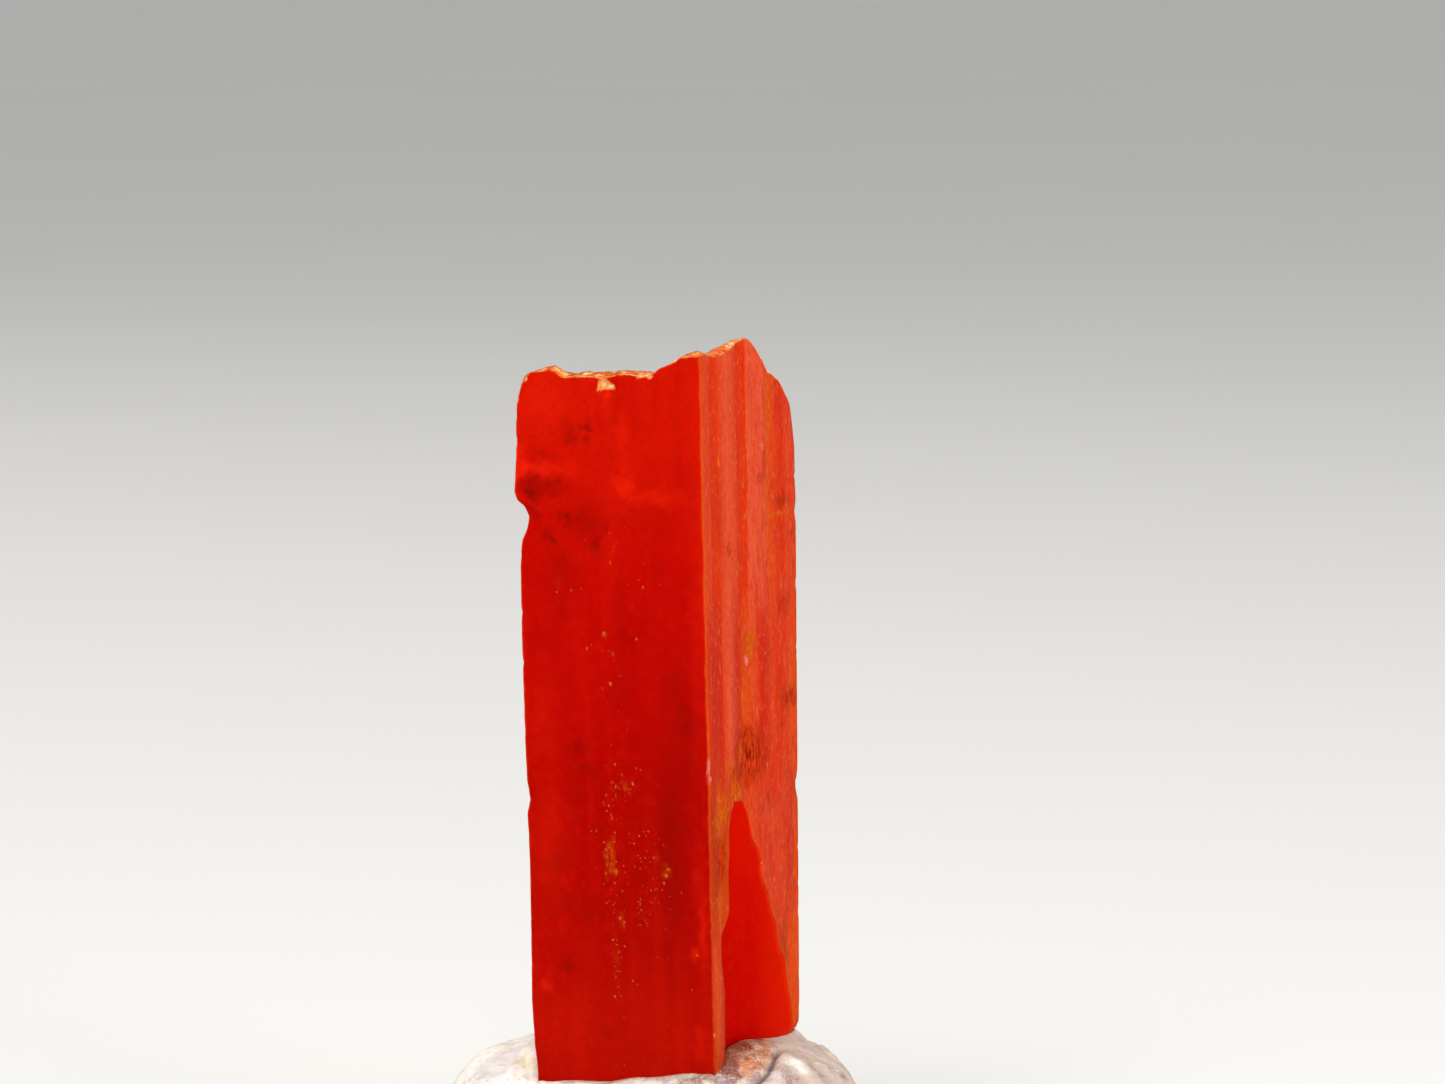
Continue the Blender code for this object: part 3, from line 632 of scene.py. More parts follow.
def capPlaces(rim, across, deep, columnsRight):
    # the grid that closes the top: its border is the rim, and the border's chips fade inwards
    wide = len(across) - 1
    i, j = np.meshgrid(np.arange(wide + 1), np.arange(deep + 1), indexing="ij")
    a = across[i]
    b = (1 - i / wide) * columnsRight[j] + i / wide * (j / deep)
    z = topHeight(a, b)
    border = np.full(i.shape, -1)
    border[0, :] = np.arange(deep + 1)
    border[:, deep] = deep + np.arange(wide + 1)
    border[wide, :] = 2 * deep + wide - np.arange(deep + 1)
    border[1:, 0] = len(rim) - np.arange(1, wide + 1)
    flat = raised(planPoint(a, b, z), z)
    moved = rim[border.clip(0)] - flat
    fromSides = [share * prism["frontWidth"] for share in (a, 1 - a)]
    fromSides += [share * prism["rightWidth"] for share in (b, 1 - b)]
    near, left, front, far = (np.maximum(0, 1 - d / prism["capFade"])[..., None] ** 2 for d in fromSides)
    shift = near * moved[:1, :] + left * moved[-1:, :] + front * moved[:, :1] + far * moved[:, -1:]
    for fadeA, row in ((near, 0), (left, -1)):
        for fadeB, column in ((front, 0), (far, -1)):
            shift = shift - fadeA * fadeB * moved[row, column]
    return np.where((border >= 0)[..., None], rim[border.clip(0)], flat + shift), border, a, b


def makeCrystalMesh():
    a, b, z, side, across, deep = crystalSides()
    plan, normals, inChip, onPlate = sidePlaces(a, b, z, side)
    grid = raised(plan, z)
    rows, count = a.shape
    width = prism["width"]
    cap, border, capA, capB = capPlaces(grid[-1], across, deep, np.append(b[-1, :deep], 1.0))

    # the sides
    index = np.arange(rows * count).reshape(rows, count)
    acrossHere = np.where((side == 0) | (side == 2), a, b) * width
    nextAcross = np.roll(acrossHere, -1, axis=1)
    for column in np.flatnonzero(np.roll(side[0], -1) != side[0]):
        nextAcross[:, column] = width if side[0, column] in (1, 2) else 0.0
    here = np.stack([tile * side + acrossHere, z], -1)
    following = np.stack([tile * side + nextAcross, np.roll(z, -1, 1)], -1)
    points, quads = [grid.reshape(-1, 3)], [cells(index, np.roll(index, -1, 1)).reshape(-1, 4)]
    uvs = [cells(here, following).reshape(-1, 2)]

    # the top
    fresh = border < 0
    capIndex = np.where(fresh, 0, (rows - 1) * count + border)
    capIndex[fresh] = rows * count + np.arange(fresh.sum())
    capUv = np.stack([4 * tile + capA * width, capB * width], -1)
    points.append(cap[fresh])
    for corners, kept, size in ((capIndex, quads, 4), (capUv, uvs, 2)):
        kept.append(cells(corners[:, :-1], corners[:, 1:]).reshape(-1, size))

    # the broken foot, inside the putty
    rings = np.array(prism["footRings"])[:, None]
    footA, footB = (0.5 + rings * (line[0] - 0.5) for line in (a, b))
    height, middle = footHeight(footA, footB), footHeight(0.5, 0.5)
    points.append(raised(planPoint(footA, footB, height), height).reshape(-1, 3))
    points.append(raised(planPoint(0.5, 0.5, middle)[None], middle))
    first = rows * count + int(fresh.sum())
    foot = np.concatenate([index[:1], first + np.arange(len(rings) * count).reshape(-1, count)])
    footUv = np.concatenate([np.stack([a[:1], b[:1]], -1), np.stack([footA, footB], -1)]) * width
    footUv[..., 0] += 5 * tile
    for corners, kept, size in ((foot, quads, 4), (footUv, uvs, 2)):
        kept.append(cells(corners, np.roll(corners, -1, 1), True).reshape(-1, size))
    fan = np.stack([foot[-1], np.full(count, first + len(rings) * count), np.roll(foot[-1], -1)], -1)
    middleUv = np.broadcast_to([5 * tile + width / 2, width / 2], (count, 2))
    uvs.append(np.stack([footUv[-1], middleUv, np.roll(footUv[-1], -1, 0)], 1).reshape(-1, 2))

    made = newObject("crystalSource", np.concatenate(points), np.concatenate(quads).tolist() + fan.tolist())
    layer = made.data.uv_layers.new(name="faceMap")
    layer.uv.foreach_set("vector", np.concatenate(uvs).astype(np.float32).ravel())
    sides = SimpleNamespace(a=a, b=b, z=z, side=side, place=acrossHere, normals=normals)
    sides.inChip, sides.onPlate = inChip, onPlate
    paintCrystal(made.data, sides, SimpleNamespace(a=capA, b=capB, fresh=fresh))
    return made


def spots(rows, across, height):
    # how strong the marks of some rows are, at a share of the width and a height in mm
    x = across * prism["width"]
    placed = [(share * prism["width"], *rest) for share, *rest in rows]
    bend = ripple(height, x, (9.1, 2.3, 6.7), (23, -17))
    lift = ripple(x, height, (8.3, 2.1, 5.9), (19, 15))
    return blots(placed, x, height, bend, lift, 0.2)


def paintFaces(name, side, across, height):
    front, right = (spots(marks[name, face], across, height) for face in ("front", "right"))
    turned = (across + backTurn * (side == 3)) % 1
    return np.select([side == 0, side == 1], [front, right], spots(marks[name, "back"], turned, height))


surface = {  # how far in mm things reach on the sides
    "rimBreak": 0.07, "rimHackle": 0.35, "litEdge": 0.07, "wear": 0.05, "calmEdge": 0.15, "calmRim": 0.3,
    "striated": np.array([0.3, 1.0, 0.5, 1.0]),  # how strong the striations are: front, right, two behind
    "rimShare": 0.35, "hackleGrowth": 6, "chipSplintersAndGlint": 0.4,
}


def paintCrystal(mesh, sides, cap):
    # saves on each point what its colour and relief need: values for the sides, the top and the foot
    z, side, onPlate, width = sides.z, sides.side, sides.onPlate, prism["width"]
    across = sides.place / width
    toRim = z[-1:] - z
    fromEdge = np.minimum(across, 1 - across) * width
    fromPlate = (across - plateEnds(z)[1]) * width
    fromCapEdge = np.minimum.reduce([cap.a, 1 - cap.a, cap.b, 1 - cap.b])
    values = {}
    for name in dict.fromkeys(name for name, _ in marks):
        painted = paintFaces(name, side, across, z) * (1 - onPlate * (name in ("ochre", "etched")))
        # the front chip's inside takes the pale splinter colour, with its painted glint
        if name == "splinterAndGlint":
            painted = np.maximum(painted, surface["chipSplintersAndGlint"] * sides.inChip)
        values[name] = painted, spots(marks.get((name, "top"), []), cap.a, cap.b * width), 0
    lit = np.exp(-(fromPlate / surface["litEdge"]) ** 2) * (side == 1)
    lit = lit * (1 - smoothStep(splitPlate["top"] - 0.3, splitPlate["top"] + 0.1, z))
    striated = surface["striated"][side] * (1 - onPlate) * smoothStep(0, surface["calmEdge"], fromEdge)
    striated = striated * smoothStep(0, surface["calmRim"], toRim + 0.1)
    rimHackle = surface["rimShare"] * (1 - smoothStep(0.0, surface["rimHackle"], toRim))
    topHackle = np.minimum(1, surface["rimShare"] + fromCapEdge * surface["hackleGrowth"])
    values["lit"] = lit, 0, 0
    values["broken"] = np.maximum(1 - smoothStep(0.0, surface["rimBreak"], toRim), sides.inChip), 1, 1
    values["plate"] = onPlate, 0, 0
    values["striated"] = striated, 0, 0
    values["across"] = tile * side + sides.place, 0, 0
    values["hackled"] = rimHackle, topHackle, 0
    values["worn"] = np.exp(-fromEdge / surface["wear"]) * smoothStep(0, 0.5, toRim), 0, 0
    capCount = int(cap.fresh.sum())
    footCount = len(mesh.vertices) - z.size - capCount
    for name, (walls, top, foot) in values.items():
        top = np.broadcast_to(top, cap.fresh.shape)[cap.fresh]
        saveValues(mesh, name, np.concatenate([np.ravel(walls), top, np.full(footCount, foot)]))
    inward = toMiddle(planPoint(sides.a, sides.b, z), z)
    for name, plan in (("outward", sides.normals), ("inward", inward)):
        directions = np.zeros((len(mesh.vertices), 3))
        directions[:z.size, :2] = plan.reshape(-1, 2)
        saveValues(mesh, name, directions)


def growthTree():
    tree, graph, given = newTree("growthRelief", prism["relief"])
    x, y, z = (graph.part(pointPlace(graph), axis) for axis in range(3))
    across, seed, often = savedValue(graph, "across"), given("Seed"), given("Striations per mm")

    # growth striations run up the faces, in two widths
    broad = graph.noise(graph.join(across * often * 0.45, z * 0.05, seed), 1.0, 1.0)
    fine = graph.noise(graph.join(across * often, z * 0.11, seed + 7), 1.0, 2.0)
    steps = graph.smooth(graph.math("FRACT", broad * 5), 0.35, 0.65)
    ribs = (broad - 0.5) * 1.6 + (fine - 0.5) + steps * 0.35
    inset = ribs * savedValue(graph, "striated") * given("Striation depth") * -1

    # etch pits, drawn out along the crystal
    pits = graph.noise(graph.join(across * 5.5, z * 1.2, seed + 3), 1.0, 3.0, 0.6)
    pits = graph.smooth(pits, 0.48, 0.62) * savedValue(graph, "etched")
    inset = inset - pits * given("Pit depth")

    # the broken top: small terraces and hackle
    size = given("Hackle size")
    rough = graph.noise(graph.join(x / size, y / size, seed), 1.0, 4.0, 0.55, 0.6)
    terraces = rough * 7
    whole = graph.math("FLOOR", terraces)
    stair = (whole + graph.smooth(terraces - whole, 0.55, 0.95)) / 7
    grain = graph.noise(graph.join(x * 5, y * 5, seed), 1.0, 3.0, 0.6)
    rise = (stair - 0.5) * 2.4 + (grain - 0.5) * 0.45
    rise = rise * savedValue(graph, "hackled") * given("Hackle height")

    # nibbled edges
    nibble = graph.noise(graph.join(z * 1.7, graph.math("ROUND", across / 5), seed + 11), 1.0, 4.0, 0.65)
    nibble = graph.smooth(nibble, 0.50, 0.72) * savedValue(graph, "worn") * given("Edge wear")

    out = graph.scaled(savedValue(graph, "outward", "FLOAT_VECTOR"), inset * mm)
    inwards = graph.scaled(savedValue(graph, "inward", "FLOAT_VECTOR"), nibble * mm)
    offset = graph.vector("ADD", graph.vector("ADD", out, inwards), graph.join(0.0, 0.0, rise * mm))
    moved = graph.node("GeometryNodeSetPosition", (), {"Geometry": given("Geometry"), "Offset": offset})
    return endTree(tree, graph, moved, given("Material"))


# coral, pale coral and rose are the right face's orange-red lightened with painted sheen
crystalTints = {
    "amber": (208, 70, 2), "coral": (232, 70, 30), "pale coral": (240, 88, 52), "rose": (212, 62, 36),
    "crimson": (212, 44, 18), "vermilion": (230, 52, 10), "scarlet": (222, 32, 4),
    "tangerine": (236, 84, 10), "clay": (196, 56, 4), "dusk": (194, 66, 26),
}
bandsWithSheen = {  # the banded faces by height: share of the width where each tint stands; the coral and pink tints hold painted sheen
    18.0: [
        (0.0, "tangerine"), (0.03, "coral"), (0.088, "coral"), (0.102, "vermilion"), (0.175, "vermilion"),
        (0.195, "coral"), (0.27, "pale coral"), (0.365, "coral"), (0.38, "vermilion"), (0.465, "vermilion"),
        (0.48, "pale coral"), (0.65, "pale coral"), (0.69, "tangerine"), (0.77, "coral"),
        (0.79, "vermilion"), (0.86, "vermilion"), (0.89, "coral"), (0.97, "coral"), (1.0, "amber"),
    ],
    13.6: [
        (0.0, "tangerine"), (0.03, "vermilion"), (0.07, "crimson"), (0.178, "crimson"), (0.195, "coral"),
        (0.26, "pale coral"), (0.335, "rose"), (0.35, "crimson"), (0.385, "vermilion"), (0.41, "tangerine"),
        (0.56, "coral"), (0.6, "scarlet"), (0.68, "vermilion"), (0.72, "coral"), (0.8, "vermilion"),
        (0.9, "coral"), (0.96, "tangerine"), (1.0, "amber"),
    ],
    8.8: [
        (0.0, "amber"), (0.03, "clay"), (0.07, "clay"), (0.11, "tangerine"), (0.16, "amber"),
        (0.24, "amber"), (0.45, "coral"), (0.65, "coral"), (0.82, "coral"), (0.93, "rose"),
        (0.97, "tangerine"), (1.0, "amber"),
    ],
    5.6: [
        (0.0, "clay"), (0.04, "tangerine"), (0.09, "coral"), (0.14, "clay"), (0.6, "coral"), (0.77, "dusk"),
        (0.83, "dusk"), (0.88, "tangerine"), (1.0, "tangerine"),
    ],
}
frontTints = [  # the clear faces' red by height in mm
    (3.5, (194, 14, 2)), (5.5, (188, 10, 1)), (8.0, (184, 5, 0)), (11.0, (184, 3, 0)), (14.0, (196, 4, 1)),
    (17.5, (200, 6, 1)), (18.4, (206, 10, 0)), (20.5, (216, 18, 0)), (22.5, (218, 20, 2)),
]


def crocoiteTextures(graph):
    # where a point lies on its face, and the textures that its colours and its roughness share
    flatMap = graph.node("ShaderNodeUVMap", {"uv_map": "faceMap"})
    u, z = graph.part(flatMap, 0), graph.part(flatMap, 1)
    face = graph.math("FLOOR", (u + 0.5) / tile)
    across = u - face * tile
    isFace = [graph.math("COMPARE", face, number, 0.1) for number in range(4)]
    place = objectPlace(graph)

    def along(acrossScale, upScale, shift, detail=2.0, roughness=0.5, bend=0.0):
        # noise on the faces, drawn out up the crystal where upScale is small
        spot = graph.join(across * acrossScale, z * upScale, face * 3.7 + shift)
        return graph.noise(spot, 1.0, detail, roughness, bend)

    shared = SimpleNamespace(
        across=across, z=z, onSide=graph.math("LESS_THAN", face, 3.5),
        banded=isFace[1] + isFace[3], clear=isFace[0] + isFace[2],
        clouds=graph.noise(place, 0.55, 3.0), smoke=graph.noise(place, 1.6, 4.0, 0.6),
        mottle=graph.noise(place, 3.2, 5.0, 0.7), chips=graph.noise(place, 3.6, 4.0, 0.7),
        grain=graph.noise(place, 9.0, 3.0, 0.6), streaks=along(2.2, 0.10, 1.0, 3.0),
        ruddy=along(2.6, 0.5, 13.0, 5.0, 0.7), dashes=along(5.0, 1.5, 6.0, 4.0, 0.7, 0.3),
        fine=along(9.0, 0.25, 2.0, 3.0, 0.6), flecks=along(11.0, 5.0, 9.0, 4.0, 0.7, 0.5),
        rust=along(11.0, 4.0, 21.0, 4.0, 0.7), finest=along(20.0, 0.7, 3.0, 2.0, 0.6),
        share=across / prism["width"] + (along(0.6, 0.35, 8.0, 3.0) - 0.5) * 0.035,
    )
    uneven = shared.clear * (shared.mottle * 0.6 + shared.smoke * 0.3 + shared.grain * 0.1)
    uneven = uneven + shared.banded * shared.dashes
    shared.dark = graph.math("MINIMUM", surfaceValue(graph, "dark") * (1 + (uneven - 0.5) * 3.2), 1.0)
    for name in ("glow", "etched", "plate", "lit"):
        setattr(shared, name, surfaceValue(graph, name))
    return shared


def clearColour(graph, t):
    # the front kind of face: clear deep red with clouds and faint upright streaks
    low, high = frontTints[0][0], frontTints[-1][0]
    wander = t.z + (t.clouds - 0.5) * 3
    stops = [((height - low) / (high - low), rgb) for height, rgb in frontTints]
    red = graph.mottled(
        graph.ramp((wander - low) / (high - low), stops),
        (t.clouds * 0.5 + t.streaks * 0.5, 0.50, 0.36, 0.3, (164, 2, 0)),
        (t.streaks, 0.52, 0.68, 0.2, (222, 24, 4)),
        (t.fine, 0.55, 0.75, 0.10, (222, 34, 8)),
        (t.smoke, 0.50, 0.68, 0.25, (172, 6, 0)),
        (t.mottle, 0.48, 0.62, 0.35, (220, 20, 4)),
        (t.grain, 0.52, 0.66, 0.35, (166, 6, 2)),
    )
    return graph.coat(red, (t.glow * (0.6 + 0.5 * t.smoke), (248, 34, 6)), (t.dark * 0.75, (130, 8, 2)))


def bandColour(graph, t):
    # the right kind of face: coral and orange bands between growth grooves; the coral and pink are partly
    # painted sheen, and so are the pale pink streaks
    levels = sorted(bandsWithSheen)
    ramps = []
    for level in levels:
        ramps.append(graph.ramp(t.share, [(at, crystalTints[name]) for at, name in bandsWithSheen[level]]))
    bands = ramps[0]
    for lower, upper, following in zip(levels, levels[1:], ramps[1:]):
        reach = (upper - lower) / 4
        middle = (upper + lower) / 2
        passed = graph.smooth(t.z + (t.smoke - 0.5) * 2, middle - reach, middle + reach)
        bands = graph.mix(passed, bands, following)
    outer = graph.smooth(t.share, 0.33, 0.55)
    upper = graph.smooth(t.z, 6.0, 9.0) * (1 - graph.smooth(t.z + (t.smoke - 0.5) * 3, 16.0, 18.5) * 0.7)
    # among these layers the pale pink streaks, (238, 112, 66), (238, 98, 56) and (246, 116, 76), are painted
    # sheen along the striations
    bands = graph.mottled(
        bands,
        (t.ruddy, 0.50, 0.62, 0.12 + 0.5 * outer * upper, (224, 40, 10)),
        (t.fine, 0.50, 0.64, 0.12 + 0.2 * outer * upper, (216, 38, 12)),
        (t.finest, 0.54, 0.72, 0.12, (238, 112, 66)),
        (t.dashes, 0.54, 0.66, 0.12 + 0.4 * outer, (198, 42, 10)),
        (t.dashes, 0.44, 0.34, 0.1 + 0.4 * outer, (238, 98, 56)),
        (t.flecks, 0.50, 0.66, 0.45, (208, 48, 12)),
        (t.flecks, 0.46, 0.32, 0.45, (246, 116, 76)),
    )
    return graph.coat(bands, (t.glow * 0.6, (238, 58, 16)), (t.dark * 0.65, (156, 34, 6)))


def bedColour(graph, t):
    # the split-off plate's bed is glassy and plain
    bed = graph.mix(graph.smooth(t.z + (t.clouds - 0.5) * 4, 6.0, 10.0), tint(206, 6, 0), tint(222, 14, 0))
    bed = graph.mottled(
        bed,
        (t.share, 0.45, 0.85, 0.8, (236, 30, 2)),
        (t.mottle, 0.45, 0.62, 0.35, (228, 26, 4)),
        (t.grain, 0.52, 0.68, 0.25, (172, 4, 0)),
    )
    return graph.coat(bed, (t.dark * 0.6, (120, 20, 2)))


def crocoiteMaterial():
    material, graph, feed = newMaterial("crocoiteCrystal", {
        "IOR": 1.6, "Subsurface Weight": 0.2, "Subsurface Radius": (1.0, 0.12, 0.04),
        "Subsurface Scale": 0.5 * mm,
    })
    t = crocoiteTextures(graph)

    def ragged(name, texture, amount, low, high):
        # a painted mark whose outline and inside are broken up by a texture of the crystal
        return graph.smooth(surfaceValue(graph, name) * (1 + (texture - 0.5) * amount), low, high)

    bands = graph.mix(t.plate, bandColour(graph, t), bedColour(graph, t))
    bands = graph.coat(bands, (t.lit * (0.3 + 0.5 * t.smoke), (246, 74, 12)))
    colour = graph.mix(t.clear, bands, clearColour(graph, t))

    # ochre stains, the etched patches, pale specks with painted highlights, and painted thin orange light
    # along the upright edges
    ochre = ragged("ochre", t.dashes, 3.5, 0.05, 0.9)
    gold = graph.ramp(t.dashes * 0.35 + t.grain * 0.25 + t.rust * 0.4, [
        (0.36, (176, 46, 0)), (0.45, (204, 72, 0)), (0.53, (226, 104, 0)), (0.61, (248, 154, 8)),
    ])
    fromEdge = graph.math("MINIMUM", t.across, prism["width"] - t.across)
    edgeLine = (1 - graph.smooth(fromEdge + (t.grain - 0.5) * 0.08, 0.01, 0.06)) * t.onSide
    colour = graph.coat(
        graph.mix(ochre * (1 - t.plate) * 0.85, colour, gold),
        (graph.smooth(t.etched, 0.1, 0.6) * t.banded * (1 - ochre) * 0.85, (200, 50, 4)),
        (graph.smooth(t.rust, 0.47, 0.40) * t.etched * t.banded * 0.8, (238, 62, 4)),
        (graph.smooth(t.rust, 0.50, 0.57) * t.etched * 0.9, (154, 20, 0)),
        (ragged("veilAndHighlight", t.grain, 2.0, 0.2, 0.9) * 0.7, (240, 150, 128)),
        (edgeLine * (0.1 + 0.5 * graph.smooth(t.smoke, 0.4, 0.65)), (222, 86, 16)),
    )

    # the broken top and the chips: yellow, orange and near-white splinters, the near-white partly painted
    # glints
    fracture = graph.ramp(t.chips, [
        (0.30, (206, 44, 8)), (0.42, (226, 80, 20)), (0.50, (238, 122, 42)), (0.57, (248, 160, 78)),
        (0.66, (254, 208, 160)),
    ])
    crushed = graph.smooth(surfaceValue(graph, "broken") + (t.grain - 0.5) * 0.5, 0.35, 0.8)
    colour = graph.coat(
        graph.mix(crushed, colour, fracture),
        (ragged("splinterAndGlint", t.grain, 2.0, 0.1, 0.45), (250, 160, 82)),
        (ragged("splinterAndGlint", t.grain, 3.0, 0.5, 0.95), (255, 222, 184)),
    )
    feed("Base Color", graph.scaled(colour, 0.80))

    rough = 0.05 + 0.03 * t.smoke + t.banded * 0.06 * (1 - t.plate)
    rough = rough + graph.smooth(t.fine, 0.4, 0.7) * t.banded * (1 - t.plate) * 0.05 + crushed * 0.15
    feed("Roughness", graph.math("MINIMUM", rough, 0.8))

    relief = t.fine * t.banded * 0.8 + t.fine * t.clear * 0.12
    relief = relief + t.finest * t.banded * 0.4 + t.grain * t.banded * 0.12
    relief = relief * (1 - t.plate * 0.95) + t.rust * t.etched * 0.3
    relief = relief + t.chips * crushed * 1.5 + t.grain * crushed * 0.6
    feed("Normal", graph.bump(relief, 0.7, 0.02))
    return material


def finishMesh(made, sharpAngle):
    made.data.shade_smooth()
    made.data.set_sharp_from_angle(angle=math.radians(sharpAngle))


def makeCrystal():
    source, material = makeCrystalMesh(), crocoiteMaterial()
    made = applyTree(source, growthTree(), prism["relief"], material, "crocoite_crystal")
    finishMesh(made, prism["sharpAngle"])
    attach(made, "root")
    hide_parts("crystal")
    return made


# the putty

putty = {
    "columns": 288, "topRings": 70, "top": 3.75, "tilt": 0.09, "domePower": 1.6, "equator": 1.7,
    "insideCrystal": 0.08, "socketFloor": 1.1, "socketRings": (0.35, 0.7, 1.0), "socketBend": 2.2,
    "lumps": [  # x, y, rise, spread
        (-4.2, 1.2, 0.1, 1.3), (3.8, -2.8, 0.45, 1.0), (2.9, -1.6, 0.28, 0.8), (2.2, -4.0, -0.1, 0.6),
        (-2.6, -3.9, -0.15, 1.2), (-1.6, 4.4, 0.2, 1.2), (2.4, 4.3, -0.2, 0.9), (-3.4, -2.2, -0.35, 0.8),
        (-1.6, -3.3, -0.3, 1.0), (0.4, -3.9, -0.15, 0.8), (-4.75, 0.8, 0.32, 0.6), (4.1, 1.25, -0.24, 0.3),
        (3.85, -3.5, -0.25, 0.35), (4.75, -0.9, 0.14, 0.25),
    ],
    "lumpFade": 8, "creaseFade": 4,  # powers of the share of the way out
    "lip": [  # once round the crystal from the near edge by right, far and left: place, height
        (0.0, 3.58), (0.06, 3.62), (0.12, 3.7), (0.16, 4.12), (0.34, 4.18), (0.5, 4.09), (0.75, 3.92),
        (0.9, 3.9), (1.0, 3.95), (1.3, 4.1), (2.0, 4.25), (2.5, 4.2), (2.8, 4.0), (2.9, 3.6), (2.96, 2.95),
        (3.05, 2.9), (3.17, 3.08), (3.43, 3.15), (3.56, 3.29), (3.7, 3.37), (3.83, 3.53), (4.0, 3.58),
    ],
    "lipWidth": 0.22,  # share of the way out over which the lip settles
    "outline": [  # degrees, mm from the middle
        (0, 5.72), (25, 5.66), (50, 5.42), (75, 5.62), (100, 5.74), (130, 5.5), (155, 5.72), (180, 5.86),
        (205, 5.7), (230, 5.46), (255, 5.62), (280, 5.6), (305, 5.52), (325, 5.9), (345, 5.62), (360, 5.72),
    ],
    "flank": [  # height, share of the outline
        (1.6, 0.999), (1.45, 0.994), (1.3, 0.989), (1.15, 0.982), (1.0, 0.975), (0.85, 0.966), (0.7, 0.956),
        (0.55, 0.945), (0.43, 0.936), (0.31, 0.926), (0.2, 0.914), (0.11, 0.9), (0.04, 0.885), (0.0, 0.865),
        (0.0, 0.7), (0.0, 0.45), (0.0, 0.2),
    ],
    "creases": [  # depth, half width, then points in plan
        (0.22, 0.14, [(2.2, -3.5), (2.8, -3.4), (3.09, -3.05), (3.25, -2.5), (3.42, -1.8), (3.52, -0.9)]),
        (0.15, 0.2, [(1.45, -3.62), (1.9, -3.5), (2.3, -3.3)]),
        (0.14, 0.12, [(-3.3, -2.9), (-3.0, -1.9), (-3.5, -1.0), (-4.2, -0.3)]),
        (0.12, 0.1, [(4.2, 1.0), (4.7, 1.9), (4.4, 3.0)]),
        (0.16, 0.14, [(-4.6, 2.2), (-3.7, 2.9), (-3.0, 3.9), (-2.0, 4.5)]),
        (0.13, 0.11, [(0.2, 4.2), (1.2, 4.7), (2.1, 4.4), (3.0, 4.0)]),
        (0.1, 0.1, [(-1.6, -4.4), (-0.6, -4.7), (0.5, -4.5)]),
    ],
    "deepCrease": 0.22,  # the depth at which a crease is as dark as it gets
    "kneading": {"Fold depth": 0.045, "Fold size": 1.5, "Dimple": 0.04, "Seed": 3.0},
    "swell": -0.22, "foldNarrowness": 9,
    "stainsAndLightFrom": 2.4,  # mm above the ground
    # shade is painted shade in hollows and below the crystal's front; brown and rosy are the putty's brown
    # darkened as painted shade, mostly in the recess beside the crystal; the pale patches are painted
    # highlights on the lobe and small nodules; cream and orange are colour patches
    "stainsAndLight": {  # tint, share, then rows of x, y, half sizes, strength
        "shade": ((146, 116, 104), 0.8, [
            (3.75, -3.05, 0.4, 0.3, 1.0), (2.85, -3.3, 0.35, 0.16, 1.2), (4.4, -2.0, 0.35, 0.4, 0.6),
            (5.1, -0.4, 0.2, 0.35, 0.8), (4.82, -0.95, 0.08, 0.12, 1.0), (1.35, -3.45, 0.75, 0.3, 1.1),
            (3.6, -1.4, 0.14, 0.5, 0.5), (0.3, -3.2, 0.5, 0.2, 0.5),
        ]),
        "cream": ((224, 200, 156), 0.85, [
            (-3.6, -0.9, 0.45, 0.35, 0.8), (-2.6, -2.2, 0.45, 0.3, 0.7), (-4.3, -0.2, 0.3, 0.3, 0.4),
        ]),
        "rosy": ((172, 94, 38), 0.9, [
            (2.95, -2.1, 0.4, 0.7, 1.0), (2.75, -2.75, 0.35, 0.4, 1.0), (3.05, -1.2, 0.35, 0.7, 0.8),
            (4.1, -1.0, 0.5, 0.7, 0.3), (-3.9, 0.6, 0.5, 0.4, 0.3),
        ]),
        "brown": ((122, 38, 2), 1.0, [
            (2.05, -2.8, 0.34, 0.5, 2.2), (2.35, -2.2, 0.34, 0.5, 2.2), (2.8, -1.35, 0.25, 0.6, 1.2),
            (3.25, -0.4, 0.2, 0.5, 0.4), (0.9, -3.4, 0.6, 0.1, 0.4),
        ]),
        "orange": ((212, 124, 28), 0.9, [(2.5, -3.0, 0.18, 0.26, 1.2), (2.6, -2.6, 0.08, 0.14, 0.7)]),
        "paintedHighlight": ((246, 240, 232), 0.85, [
            (3.85, -2.45, 0.3, 0.35, 0.9), (4.43, -1.1, 0.08, 0.14, 1.0), (4.97, -0.25, 0.08, 0.12, 0.9),
        ]),
    },
    "seatReach": 0.34,  # mm that the painted contact shade round the crystal reaches
    "seatShadeFrom": (-2.0, -1.0), "seatShadeLeast": 0.25,  # the y where it is full and where it is least
    "sharpAngle": 60,
}


def crossSection(height):
    # the crystal's outline, a little inside its faces, one point in each direction
    corners = planPoint(np.array([0, 0, 1, 1]), np.array([0, 1, 1, 0]), height)
    centre = planPoint(0.5, 0.5, height)
    angle = 2 * np.pi * np.arange(putty["columns"]) / putty["columns"]
    directions = np.stack([np.cos(angle), np.sin(angle)], -1)
    reach = np.full(len(angle), np.inf)
    for start, end in zip(corners, np.roll(corners, -1, axis=0)):
        run = (end - start) / np.linalg.norm(end - start)
        normal = np.array([run[1], -run[0]])
        facing = directions @ normal
        distance = (normal @ (start - centre) - putty["insideCrystal"]) / np.where(facing > 1e-6, facing, 1)
        reach = np.minimum(reach, np.where(facing > 1e-6, distance, np.inf))
    return centre + directions * reach[:, None]


